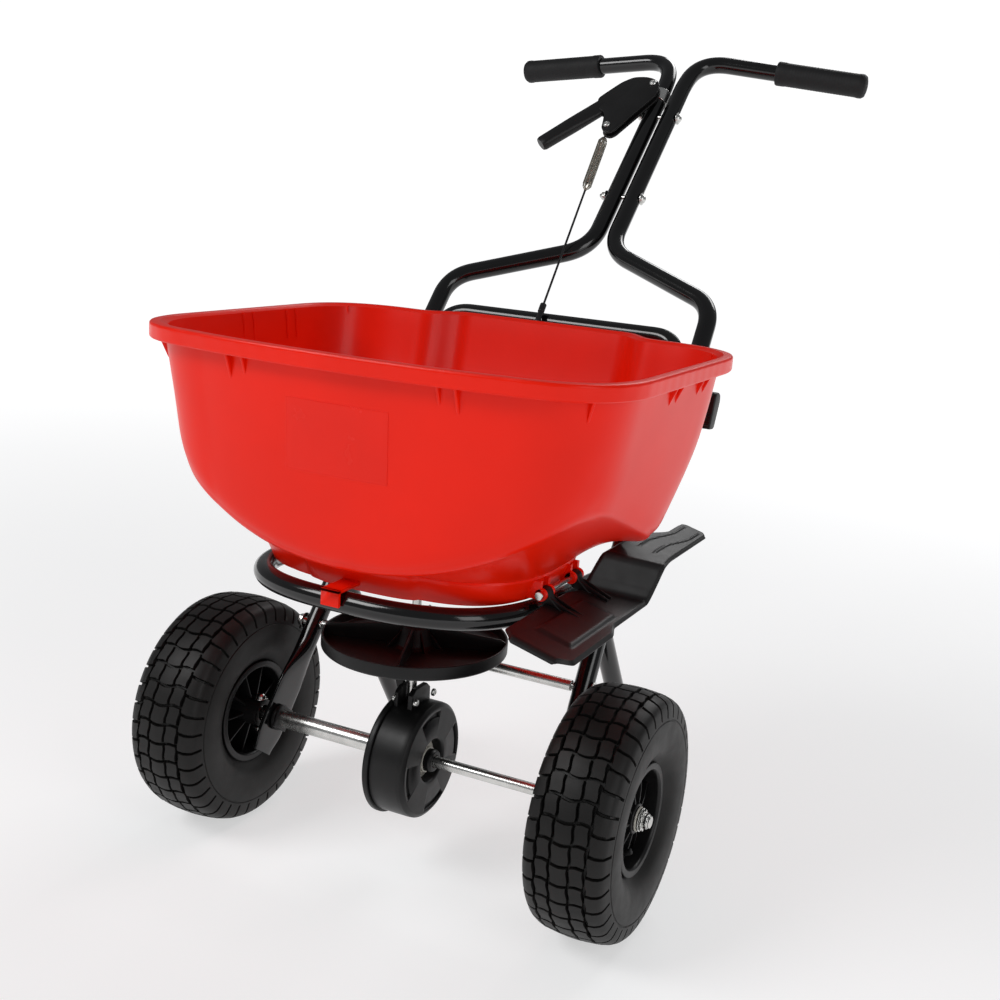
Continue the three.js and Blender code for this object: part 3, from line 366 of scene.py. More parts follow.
def pair(name, body, material, parts, node, crease=38):
    """The same piece on both sides, the right one given."""
    piece(f"{name}_right", body, material, parts, [f"{node}_right"], crease)
    piece(f"{name}_left", body, material, mirrored(parts), [f"{node}_left"], crease)


def carve(thing, parts):
    """Cuts closed shapes out of a piece."""
    cutter = piece("cutter", "frame", ZINC, parts)
    step = thing.modifiers.new("cut", "BOOLEAN")
    step.object = cutter
    step.solver = "EXACT"
    graph = bpy.context.evaluated_depsgraph_get()
    mesh = bpy.data.meshes.new_from_object(thing.evaluated_get(graph))
    thing.modifiers.clear()
    thing.data = mesh
    bpy.data.objects.remove(cutter)


def dress(node, material):
    """Gives a CAD part that is seen as it is its material."""
    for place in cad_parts[node].material_slots:
        place.material = material


# ------------------------------------------------------------------ frame
def leg_point(z):
    t = (z - WHEEL_Z) / (LEG_TOP.z - WHEEL_Z)
    return V(mix(LEG_FOOT_X, LEG_TOP.x, t), mix(0, LEG_TOP.y, t), z)


def leg_width(z):
    """Half widths of a leg, fore and aft and across, and the power of its section: flat at the axle, round above."""
    t = smooth((z - 158) / 52)
    foot = smooth((z - 95) / 22)
    return mix(mix(17, 23.5, foot), TUBE, t), mix(2.6, TUBE, t), mix(0.45, 1.0, t)


def leg():
    up = (leg_point(LEG_TOP.z) - leg_point(WHEEL_Z)).normalized()
    forward = up.cross(X).normalized()
    side = forward.cross(up).normalized()
    heights = [95 + 115 * i / 34 for i in range(35)] + [LEG_TOP.z]
    rings = []
    for z in heights:
        wide, thick, flat = leg_width(z)
        square = 1 if flat > 0.99 else mix(0.6, 1.0, (flat - 0.45) / 0.55)
        section = [oval(turn, wide, thick, square, flat) for turn in angles(36)]
        rings.append([leg_point(z) + forward * p + side * q for p, q in section])
    return [skin(rings)]


def build_frame():
    pair("leg", "frame", GLOSS, leg(), "frame_leg")
    top = leg_point(LEG_TOP.z - 0.2)
    bar_y, bar_z = 315, 580
    corners = [V(-top.x, top.y, top.z), V(-156, bar_y, bar_z), V(156, bar_y, bar_z), top]
    piece("crossbar", "frame", GLOSS, [tube(rounded_path(corners, 34, 20), TUBE, 36)], ["frame_crossbar"])

    hoop = [V(-152, 148, 327.2), V(-150, -143, 342.5), V(150, -143, 342.5), V(152, 148, 327.2)]
    piece("hoop", "frame", GLOSS, [tube(rounded_path(hoop, 135, 32), TUBE, 36)], ["frame_hoop"])

    stand_top, stand_foot = V(168, 97, 302), V(168, 301, 4)
    down = (stand_foot - stand_top).normalized()
    pair("stand", "frame", GLOSS, [tube([stand_top, stand_foot - down * 9], TUBE, 36)], "stand_leg")
    cap_top = stand_foot - down * 35
    length = (stand_foot - cap_top).length
    u, w = square_to(down)
    rings = []
    for along, radius in [(0, 11.2), (0, 13.2), (1, 14), (length * 0.5, 14.2), (length + 16, 14.2)]:
        ring = []
        for turn in angles(40):
            p = cap_top + down * along + (u * cos(turn) + w * sin(turn)) * radius
            if p.z < 0.2:
                p -= down * ((p.z - 0.2) / down.z)
            ring.append(p)
        rings.append(ring)
    pair("foot_cap", "frame", GRIP, [skin(rings)], "stand_foot")

    inner = leg_point(ROD.z).x - TUBE - 1.2
    end = span("cross_rod")[1].x
    at = lambda x: V(x, ROD.y, ROD.z)
    bar = [rod(6, at(-inner), at(inner), 0.8, 40)]
    bar += [thread(4, at(sign * inner), at(sign * end)) for sign in (1, -1)]
    piece("cross_rod_bar", "frame", ZINC, bar, ["cross_rod"])
    nut_x = span("cross_rod_nut_right")[0].x
    nut = [
        hexagon(7.6, at(nut_x + 1.2), X, 6.4),
        turned([(4.2, 0), (9.5, 0), (9.5, 1.2), (4.2, 1.2)], at(nut_x), X, 32, 0.3, True),
    ]
    pair("rod_nut", "frame", ZINC, nut, "cross_rod_nut")


# ------------------------------------------------------------------ handle
HANDLE = [V(250, 694, 904), V(18, 684, 927), V(13, 640, 886), V(13, 423, 669), V(178, 355, 619), V(184, 246, 480)]


def build_handle():
    path = rounded_path(HANDLE, [46, 8, 36, 30], 16)
    pair("handle", "frame", GLOSS, [tube(path, TUBE, 36)], "handle_tube")

    inward = (HANDLE[1] - HANDLE[0]).normalized()
    start = HANDLE[0] - inward * 4
    length = 124
    profile = [(0, 0), (9, 0.2), (13.4, 1.6), (15.7, 5), (16, 9), (15.4, 14)]
    ribs = 22
    for i in range(ribs):
        s = 18 + (length - 36) * i / ribs
        profile += [(15.5, s), (15.2, s + 1.4), (15.5, s + 2.8)]
    profile += [(15.4, length - 14), (15.9, length - 11), (16, length - 2), (15.4, length - 0.4)]
    profile.append((11.2, length))
    grip = turned(profile, start, inward, 64)
    pair("grip_sleeve", "frame", GRIP, [grip], "grip", 60)

    for node in ("handle_bolt_upper", "handle_bolt_lower"):
        at = middle(node)
        piece(f"{node}_steel", "frame", ZINC, bolt(V(24.6, at.y, at.z), V(-24.6, at.y, at.z)), [node])
    for level in ("lower", "upper"):
        at = middle(f"frame_bolt_{level}_right")
        inside = leg_point(at.z).x - TUBE - 0.6
        parts = bolt(V(184 + TUBE + 1.5, at.y, at.z), V(inside, at.y, at.z))
        pair(f"joint_bolt_{level}", "frame", ZINC, parts, f"frame_bolt_{level}")


# ------------------------------------------------------------------ wheels
PITCHES = 38
TREAD_DEPTH = 4.6
# Stations over the tyre: radius, distance from the middle, depth of the groove round the tyre (0 to 1), and how
# much the grooves across the tyre show (0 to 1).
CROWN = [
    (130.0, 0, 0, 1), (129.9, 5.5, 0, 1), (129.7, 8.4, 0, 1), (129.6, 9.2, 1, 1), (129.6, 11.0, 1, 1),
    (129.5, 11.8, 0, 1), (129.0, 17, 0, 1), (128.2, 24.2, 0, 1), (128.0, 25.0, 1, 1), (127.8, 27.0, 1, 1),
    (127.6, 27.8, 0, 1), (126.0, 33.5, 0, 1), (123.6, 38.2, 0, 1), (120.4, 41.2, 0, 1), (115.5, 42.8, 0, 1),
    (108.6, 44.0, 0, 1), (107.6, 44.2, 0, 0), (105.8, 44.4, 0, 0), (105.2, 43.6, 0, 0), (104.4, 43.6, 0, 0),
    (103.8, 44.6, 0, 0), (98.0, 45.4, 0, 0), (90.0, 45.4, 0, 0), (82.0, 44.6, 0, 0), (75.0, 43.0, 0, 0),
    (69.5, 40.4, 0, 0), (65.2, 37.0, 0, 0), (62.4, 34.6, 0, 0), (60.4, 33.2, 0, 0), (56.0, 31.0, 0, 0),
]


def tyre(sign):
    """The tyre of one side: its surface follows the grooves between the tread blocks."""
    stations = [(r, -s, g, w) for r, s, g, w in reversed(CROWN[1:])] + CROWN
    steps = [(-0.085, 0), (-0.05, 1), (0.05, 1), (0.085, 0), (0.3, 0), (0.5, 0), (0.7, 0)]
    centre = V(sign * WHEEL_X, 0, WHEEL_Z)
    rings = []
    for pitch in range(PITCHES):
        for offset, across in steps:
            ring = []
            for i, (r, s, around, shows) in enumerate(stations):
                bend = 0.09 * cos(2 * pi * min(abs(s), 36) / 36.0) + (0.25 if abs(s) > 27.5 else 0)
                turn = 2 * pi * (pitch + offset + bend) / PITCHES
                sway = 0.9 * sin(2 * pi * (pitch + offset)) if 8 < abs(s) < 28.5 else 0
                deep = TREAD_DEPTH * max(around, across * shows)
                if abs(s) > 38.5 and shows:
                    deep *= 0.62
                near = stations[min(i + 1, len(stations) - 1)], stations[max(i - 1, 0)]
                slope = Vector((near[0][0] - near[1][0], near[0][1] - near[1][1])).normalized()
                radius, place = r + slope.y * -deep, s + slope.x * deep + sway
                ring.append(centre + V(-sign * place, radius * cos(turn), radius * sin(turn)))
            rings.append(ring)
    return [skin(rings, around=True, ends=False, loop=True)]


def rim(sign):
    centre = V(sign * WHEEL_X, 0, WHEEL_Z)
    inward = V(-sign, 0, 0)
    barrel = [(50, 4), (50.6, -33), (52.4, -35.8), (58.6, -35.8), (59.3, -34.6), (58.4, -32.9), (53.8, -32.4),
              (53.4, -20), (51.5, -12), (51.5, 12), (53.4, 20), (53.8, 32.4), (58.4, 32.9), (59.3, 34.6),
              (58.6, 35.8), (52.4, 35.8), (50.6, 33), (50, 9)]
    hub = [(9.4, -29.6), (15, -30), (16, -29), (16, 1.5), (19, 4), (50, 4), (50, 9), (19, 9), (16, 11),
           (16, 45.5), (9.4, 46)]
    parts = [turned(barrel, centre, inward, 96, 1.0, True, 3), turned(hub, centre, inward, 72, 0.8, True, 2)]
    fin = [(15, -28), (30, -26), (50.4, -21), (50.4, 5), (15, 5)]
    back = [(15, 8), (50.4, 8), (50.4, 24), (15, 30)]
    for turn in angles(9, pi / 9):
        basis = (centre, spoke(turn), inward, inward.cross(spoke(turn)))
        parts += [plate(shape, -1.1, 1.1, basis, 0.5, 2) for shape in (fin, back)]
    return parts


def valve(sign):
    centre = V(sign * WHEEL_X, 0, WHEEL_Z)
    turn = radians(250)
    at = lambda r, s: centre + V(-sign * s, r * cos(turn), r * sin(turn))
    base = [(0, 0), (4, 0), (3.6, 5), (2.9, 9), (0, 9)]
    stem = [turned(base, at(52.5, -16), at(44, -16) - at(52.5, -16), 24, 0.8)]
    stem.append(tube([at(45, -16), at(41, -18), at(38, -22), at(35, -27)], 2.6, 20))
    cap = at(36.2, -25), at(34.2, -28.6)
    stem.append(turned([(0, -1), (3.3, -1), (3.3, 6), (2.6, 7), (0, 7)], cap[0], cap[1] - cap[0], 12, 0.4))
    return stem


def hub_nut(sign):
    """A cap, a washer and a toothed push-on ring at the end of the axle."""
    at = lambda s: V(sign * (WHEEL_X + s), 0, WHEEL_Z)
    out = V(sign, 0, 0)
    parts = [turned([(6.8, 0), (12.2, 0), (12.2, 1.6), (6.8, 1.6)], at(33), out, 48, 0.4, True)]
    scallops = []
    for turn in angles(96):
        r = 10.4 + 1.1 * cos(9 * turn)
        scallops.append((r * cos(turn), r * sin(turn)))
    u, v = square_to(out)
    parts.append(plate(scallops, 0, 2.6, (at(34.9), u, v, out), 0.7))
    parts.append(hexagon(8.4, at(37.3), out, 4.4))
    parts.append(turned([(0, 0), (7.2, 0), (7.0, 1.0), (5.2, 2.2), (0, 2.6)], at(41.5), out, 40, 0.4))
    return parts


def build_wheels():
    for side, sign, body in (("left", -1, "drive_axle"), ("right", 1, "free_wheel")):
        centre = V(sign * WHEEL_X, 0, WHEEL_Z)
        piece(f"tread_tyre_{side}", body, TYRE, tyre(sign), [f"tyre_{side}"], 30)
        piece(f"ribbed_rim_{side}", body, RIM_LOOK, rim(sign), [f"wheel_rim_{side}"])
        piece(f"valve_{side}", body, GRIP, valve(sign), [f"valve_stem_{side}"])
        piece(f"push_nut_{side}", "drive_axle", ZINC, hub_nut(sign), [f"hub_nut_{side}"])
        bush = [(6.6, -32.2), (12.8, -32.2), (12.8, -30.6), (9, -30.6), (9, 36), (6.6, 36)]
        piece(f"bush_{side}", body, ACETAL, [turned(bush, centre, V(-sign, 0, 0), 48, 0.3, True)],
              [f"wheel_bush_{side}"])


# ------------------------------------------------------------------ axle and gearbox
def build_axle():
    at = lambda x: V(x, 0, WHEEL_Z)
    end = span("axle")[1].x
    piece("axle_bar", "drive_axle", ZINC, [rod(6.35, at(-end), at(end), 1.0, 48)], ["axle"])
    low, high = span("axle_sleeve")
    sleeve = [(6.6, 0), (10, 0), (10, high.x - low.x), (6.6, high.x - low.x)]
    piece("sleeve_tube", "drive_axle", ZINC, [turned(sleeve, at(low.x), X, 48, 0.5, True)], ["axle_sleeve"])

    pin_x = middle("drive_pin").x
    pin = bolt(V(pin_x, 0, WHEEL_Z + 17), V(pin_x, 0, WHEEL_Z - 17), 2.7)
    piece("drive_pin_steel", "drive_axle", ZINC, pin, ["drive_pin"])

    low, high = span("axle_collar")
    outline = []
    for turn in angles(120):
        r = 15.9 - 2.6 * max(0, cos(8 * turn)) ** 1.5
        outline.append((r * cos(turn), r * sin(turn)))
    basis = (at(0), Y, Z, X)
    piece("fluted_collar", "drive_axle", MOULDED, [plate(outline, low.x, high.x, basis, 1.0)], ["axle_collar"])

    for side, sign in (("left", -1), ("right", 1)):
        bush = [(6.7, 168.7), (14.9, 168.7), (14.9, 172.3), (10, 172.3), (10, 182), (6.7, 182)]
        parts = [turned(bush, at(0), V(sign, 0, 0), 48, 0.4, True)]
        parts.append(plate([(-13, -13), (13, -13), (13, 13), (-13, 13)], 165.2, 168.5,
                           (at(0), V(0, 0.57, 0.82), V(0, -0.82, 0.57), V(sign, 0, 0)), 0.8))
        piece(f"bearing_block_{side}", "frame", MOULDED, parts, [f"axle_bearing_{side}"])


def arc(radius, width, start, end, steps=14):
    """A curved slot's outline."""
    ways = [mix(start, end, i / steps) for i in range(steps + 1)]
    sides = ((radius + width, ways), (radius - width, reversed(ways)))
    return [(cos(turn) * r, sin(turn) * r) for r, along in sides for turn in along]


SEAM_X = -11  # where the gearbox's cover meets its housing


def build_gearbox():
    at = V(0, 0, WHEEL_Z)
    big = GEARBOX_RADIUS
    shell = [(8.3, 8), (21, 11), (23, 24), (24, 29), (26, 30), (big - 5, 30), (big - 0.5, 26.5), (big, 22),
             (big, SEAM_X), (big - 4, SEAM_X), (big - 4, 6), (8.3, 6)]
    parts = [turned(shell, at, X, 128, 0.9, True, 3)]
    parts.append(turned([(6.9, 8), (12.5, 8), (12.5, 31), (11, 33.8), (6.9, 34)], at, X, 56, 0.7, True))
    for turn in angles(8, 0.075 * pi):
        basis = (at, spoke(turn), X, X.cross(spoke(turn)))
        parts.append(plate([(11, 14), (23.5, 14), (24.4, 28), (11, 31)], -0.9, 0.9, basis, 0.4, 2))
    bar = fillet([(30, -1.4), (47, -1.4), (47, 1.4), (30, 1.4)], 1.2, True)
    for turn in angles(5, 0.35):
        parts.append(plate(bar, 29.4, 31, (at, spoke(turn), V(0, -sin(turn), cos(turn)), X), 0.5, 2))
    for turn in angles(9, 0.2):
        base = at + spoke(turn) * (big - 0.6)
        parts.append(rod(2.2, base + X * 20, base + X * 29.4, 0.8, 20))
    rib = [(big - 1, SEAM_X + 1), (big + 0.35, SEAM_X + 1.4), (big + 0.35, 19), (big - 1, 20)]
    for turn in angles(12, 0.1):
        parts.append(plate(rib, -0.5, 0.5, (at, spoke(turn), X, X.cross(spoke(turn))), 0.2, 2))
    neck_top = 232
    neck = [(5.6, 190), (12, 190), (12, 226), (13.2, 227), (13.2, neck_top - 1), (5.6, neck_top)]
    parts.append(turned(neck, ORIGIN, Z, 56, 0.7, True))
    web = [(-16, 198), (-10, 196), (-10, 227), (-24, 228), (-20, 212)]
    parts.append(plate(web, -2.2, 2.2, (ORIGIN, X, Z, Y), 0.8))
    fore = [(-20, 184), (20, 184), (19, 206), (12, 212), (-12, 212), (-19, 206)]
    parts += [plate(fore, low, high, (ORIGIN, Y, Z, X), 1.0) for low, high in ((-10.8, -6), (6, 12))]
    clamp_z = middle("gearbox_screw_1").z
    clamps = (-19, 19)
    parts += [rod(5.4, V(-7.8, y, clamp_z), V(14.8, y, clamp_z), 0.8) for y in clamps]
    housing = piece("gearbox_shell", "frame", MOULDED, parts, ["gearbox_housing"])
    basis = (at, Y, Z, X)
    slots = [arc(52, 3.4, t - 0.36, t + 0.36) for t in (0.15, 1.72, 3.29, 4.86)]
    carve(housing, [plate(slot, 27.5, 33, basis, 0.1, 1) for slot in slots])

    lid = [(8.2, -6.5), (15, -9.6), (big - 8, -9), (big + 1, -7.6), (big + 3, -5.5), (big + 3, -1),
           (big + 2.2, -0.3), (big - 4.6, -0.3), (big - 4.6, 2), (big - 8, 2), (big - 8, -4), (8.2, -3.5)]
    lid = [(radius, SEAM_X + x) for radius, x in lid]
    piece("gearbox_lid", "frame", MOULDED, [turned(lid, at, X, 128, 0.7, True, 3)], ["gearbox_cover"])
    dome = [(0, 0), (4.2, 0), (4.2, 2.2), (3, 3.4), (1.6, 3.5), (1.5, 2.2), (0, 2.2)]
    for i, y in enumerate(clamps):
        parts = [turned(dome, V(15.1, y, clamp_z), X, 28, 0.3), hexagon(4.6, V(-8.1, y, clamp_z), -X, 3)]
        piece(f"clamp_screw_{i + 1}", "frame", ZINC, parts, [f"gearbox_screw_{i + 1}"])

    for node in ("drive_gear", "pinion_gear", "shaft_bearing"):
        dress(node, ACETAL)


# ------------------------------------------------------------------ impeller
def build_impeller():
    at = V(0, 0, IMPELLER_Z)
    big = IMPELLER_RADIUS
    dish = [(5.4, -19.8), (12.4, -19.8), (14, -17), (24, -4.5), (28, -2.6), (big - 2, -2), (big, 0), (big, 13),
            (big - 2.5, 13), (big - 3.4, 2.4), (70, 1.6), (26, 1.6), (21, 4), (14.4, 22), (12, 26), (5.4, 26)]
    parts = [turned(dish, at, Z, 144, 1.2, True, 4)]
    fin = [(10, 0.5), (big - 2, 0.5), (big - 2.4, 14), (big - 8, 16.5), (56, 20), (24, 23.8), (10, 24)]
    rib = [(13, 1), (34, 1), (31, 3), (15, 20)]
    for shape, half, edge, steps, turns in ((fin, 1.1, 0.6, 3, angles(4, 0.35)), (rib, 0.8, 0.4, 2, angles(8, 0.1))):
        for turn in turns:
            out = V(cos(turn), sin(turn), 0)
            parts.append(plate(shape, -half, half, (at, out, Z, out.cross(Z)), edge, steps))
    piece("spreading_plate", "impeller_unit", MOULDED, parts, ["impeller"])
    low, high = span("impeller_shaft")
    piece("impeller_spindle", "impeller_unit", ZINC, [rod(5, V(0, 0, low.z), V(0, 0, high.z), 0.8, 36)],
          ["impeller_shaft"])
    wire = rounded_path([V(-34, 0, 376), V(-20, 0, 368), V(20, 0, 368), V(34, 0, 360.5)], 6, 8)
    piece("agitator_wire", "impeller_unit", WIRE, [tube(wire, 2.7, 20)], ["agitator"])


# ------------------------------------------------------------------ hopper
OUTLINE = 320  # points round the hopper
HINGE = V(162, 0, 358)
HINGE_EARS = (-36, 36)
OUTLETS = (-28, 0, 28)
RIM = dict(wide=265, front=-186, rear=243, panel=281, corner=96)
WALL = [
    dict(wide=254, front=-174, rear=232, panel=270, corner=92),
    dict(wide=245, front=-168, rear=204, panel=243, corner=88),
    dict(wide=237, front=-163, rear=142, panel=190, corner=84),
    dict(wide=231, front=-157, rear=122, panel=165, corner=80),
]
NECK_TOP = dict(wide=158, front=-127, rear=112, panel=150, corner=92)
NECK_FOOT = dict(wide=150, front=-121, rear=106, panel=140, corner=88)
FUNNEL = dict(wide=66, front=-60, rear=52, panel=56, corner=40)


def inset(shape, by):
    return dict(wide=shape["wide"] - by, front=shape["front"] + by, rear=shape["rear"] - by,
                panel=shape["panel"] - by, corner=max(shape["corner"] - by * 0.5, 8))


def outline(shape):
    """The hopper's plan outline as evenly spaced points, starting at the front middle."""
    wide, front, rear, panel, corner = (shape[k] for k in ("wide", "front", "rear", "panel", "corner"))
    step = min(30, wide * 0.12)
    inner = wide * 0.43
    line = [Vector((0, front))]

    def curve(*points):
        start = line[-1]
        chain = [start, *(Vector(p) for p in points)]
        for i in range(1, 25):
            level = chain
            t = i / 24
            while len(level) > 1:
                level = [a.lerp(b, t) for a, b in zip(level, level[1:])]
            line.append(level[0])

    curve((wide * 0.4, front), (wide - corner, front + corner * 0.14))
    curve((wide - 1, front + corner * 0.22), (wide, front + corner * 1.25))
    curve((wide, rear - corner))
    curve((wide, rear), (wide - corner, rear))
    curve((inner + step * 1.4, rear))
    curve((inner + step * 0.5, rear), (inner + step * 0.4, panel), (inner - step * 0.5, panel - 1))
    curve((inner * 0.5, panel), (0, panel))
    lengths = [0.0]
    for a, b in zip(line, line[1:]):
        lengths.append(lengths[-1] + (b - a).length)
    side, at = [], 0
    for i in range(OUTLINE // 2 + 1):
        goal = lengths[-1] * i / (OUTLINE // 2)
        while at < len(line) - 2 and lengths[at + 1] < goal:
            at += 1
        t = (goal - lengths[at]) / (lengths[at + 1] - lengths[at])
        side.append(line[at].lerp(line[at + 1], min(t, 1)))
    return side + [Vector((-p.x, p.y)) for p in reversed(side[1:-1])]


def level(shape, height):
    return [V(p.x, p.y, height(p) if callable(height) else height) for p in outline(shape)]


def wave(p):
    """Height of the lower edge of the walls: low in front and behind, with a crest at each front corner."""
    return 382 + 81 * min(abs(p.x) / 226, 1) ** 2.2 * smooth((180 - p.y) / 300)


def through(rings, steps):
    """Rings on a smooth curve through the given ones."""
    made = []
    last = len(rings) - 1
    for i in range(last):
        a, b, c, d = rings[max(i - 1, 0)], rings[i], rings[i + 1], rings[min(i + 2, last)]
        for s in range(steps):
            t = s / steps
            made.append([
                0.5 * (2 * q + (r - p) * t + (2 * p - 5 * q + 4 * r - w) * t**2 + (3 * q - p - 3 * r + w) * t**3)
                for p, q, r, w in zip(a, b, c, d)
            ])
    made.append(rings[-1])
    return made


def wall(by, lift, top):
    """The bowl's wall from the rim down to the neck, moved inward by a distance."""
    keys = [
        level(inset(WALL[0], by), top),
        level(inset(WALL[1], by), lambda p: mix(wave(p), RIM_TOP, 0.52)),
        level(inset(WALL[2], by), lambda p: wave(p) + 22),
        level(inset(WALL[3], by), lambda p: wave(p) + 2 + lift),
    ]
    turned_in = ((1.4, 1.2), (4, 3.8), (8, 5))
    edge = [level(inset(WALL[3], by + step), lambda p: wave(p) - drop + lift) for step, drop in turned_in]
    return through(keys, 8) + edge


def edge_rings(shape, points):
    """Rings from (inset, height) pairs."""
    return [level(inset(shape, by), z) for by, z in points]


def hopper_shell():
    inside = wall(3.5, 4, RIM_TOP - 3)
    inside += through([inside[-1], level(inset(NECK_TOP, 8), 379)], 4)[1:] + [level(FUNNEL, 356)]
    flat = edge_rings(RIM, [(10.2, RIM_TOP - 0.9), (9.2, RIM_TOP), (3, RIM_TOP), (1.2, RIM_TOP - 0.5),
                            (0.3, RIM_TOP - 1.6), (0, RIM_TOP - 3.2)])
    skirt = edge_rings(RIM, [(0, RIM_TOP - 4), (0, RIM_TOP - 13.4)])
    for ring in skirt:
        for i in range(0, OUTLINE, 4):
            ring[i] -= V(ring[i].x, ring[i].y, 0).normalized() * 0.4
    under = edge_rings(RIM, [(0.3, RIM_TOP - 15), (1.2, RIM_TOP - 16), (2.2, RIM_TOP - 16), (3, RIM_TOP - 15),
                             (3.2, RIM_TOP - 13), (3.4, RIM_TOP - 6), (5, RIM_TOP - 4), (9.5, RIM_TOP - 3.6)])
    outside = wall(0, 0, RIM_TOP - 7)
    outside += through([outside[-1], level(NECK_TOP, 374)], 4)[1:]
    outside += [level(inset(NECK_TOP, -0.6), 372), level(inset(NECK_TOP, 0.4), 368), level(NECK_FOOT, 350.6),
                level(inset(NECK_FOOT, 0.8), 349.6), level(inset(NECK_FOOT, 2.8), 349.6),
                level(inset(NECK_FOOT, 3.5), 350.4), level(inset(NECK_FOOT, 3.5), 352.4)]
    return skin(list(reversed(inside)) + flat + skirt + under + outside)


def under_rib(x, y, turn, height=34):
    """A small fin between the rim and the wall."""
    out = V(cos(turn), sin(turn), 0)
    fin = [(-2, 0), (13.4, 0), (12.6, -4), (-1, -height), (-5, -height)]
    return plate(fin, -1.4, 1.4, (V(x, y, RIM_TOP - 2.5), out, Z, out.cross(Z)), 0.8)


def upright_cut(radius, x, y):
    return rod(radius, V(x, y, 340), V(x, y, 372), 0.05)


def outlet_cuts():
    return [upright_cut(11, x, 34) for x in OUTLETS]


def build_hopper():
    parts = [hopper_shell()]
    corner_at = outline(inset(WALL[0], 3))
    for side in (-1, 1):
        face = lambda turn: turn if side > 0 else pi - turn
        for x in (104, 122):
            parts.append(under_rib(side * x, -166, -pi / 2, 38))
        for y in (20, 38, 100, 118):
            parts.append(under_rib(side * 251, y, face(0)))
        for turn, height in ((face(-0.7), 34), (face(0.7), 44)):
            far = max(corner_at, key=lambda p: p.x * cos(turn) + p.y * sin(turn))
            parts.append(under_rib(far.x, far.y, turn, height))
    parts.append(box((-16, 4), (-159, -155.6), (341, 358.4), 0.7))
    parts.append(box((-16, 4), (-159, -118), (354.6, 358.4), 0.7))
    parts.append(box((-8, 8), (186, 191), (354, 403), 0.7))
    for y in HINGE_EARS:
        for low in (y - 11, y + 6.5):
            parts.append(box((146, HINGE.x), (low, low + 4.5), (353, 372), 0.6))
            parts.append(rod(6.5, HINGE + Y * low, HINGE + Y * (low + 4.5), 0.6))
    hopper = piece("hopper_bowl", "frame", RED, parts, ["hopper"], 32)
    anchor = rod(4.7, V(0, 180, GATE_CABLE_Z), V(0, 196, GATE_CABLE_Z), 0.05)
    carve(hopper, [*outlet_cuts(), upright_cut(6, 0, 0), anchor])

    piece("blank_label", "frame", LABEL, [label_patch()])


def label_patch():
    """A blank film on the front of the bowl, following the wall."""
    half = 12
    front = [ring[-half:] + ring[:half + 1] for ring in wall(-0.35, 0, RIM_TOP - 7)]
    x_edge, z_low, z_high = 108.0, 470.0, 538.0

    def at(x, z):
        column = []
        for line in front:
            for a, b in zip(line, line[1:]):
                if a.x <= x <= b.x:
                    column.append(a.lerp(b, (x - a.x) / max(b.x - a.x, 1e-6)))
                    break
        for a, b in zip(column, column[1:]):
            if b.z <= z <= a.z:
                return b.lerp(a, (z - b.z) / max(a.z - b.z, 1e-6))
        return column[-1]

    reach = min(x_edge, front[0][-1].x, front[len(front) // 2][-1].x) - 0.5
    grid = [[at(mix(-reach, reach, i / 40), mix(z_low, z_high, j / 16)) for i in range(41)] for j in range(17)]
    back = [[p + V(0, 0.8, 0) for p in row] for row in grid]
    rings = [row + list(reversed(behind)) for row, behind in zip(grid, back)]
    return skin(rings)


def build_outlet():
    low = span("outlet_plate")[0].z
    rings = edge_rings(NECK_FOOT, [(6.4, low + 0.2), (6, low + 0.6), (6, low + 1.8), (6.4, low + 2.2)])
    sole = piece("outlet_sole", "frame", RED, [skin(rings)], ["outlet_plate"])
    carve(sole, [*outlet_cuts(), upright_cut(9.6, 0, 0), box((-24, 24), (112, 170), (340, 353), 0.1)])
    dress("shutoff_gate", ZINC)


# ------------------------------------------------------------------ shut-off lever, spring and cable
DIAGONAL = sqrt(0.5)
UP = V(0, DIAGONAL, DIAGONAL)
OFF = V(0, -DIAGONAL, DIAGONAL)
PIVOT = V(-18, 610.4, 884.7)
APEX = (-38, -86)
on_lever = lambda across, up, off: PIVOT + V(across, 0, 0) + UP * up + OFF * off


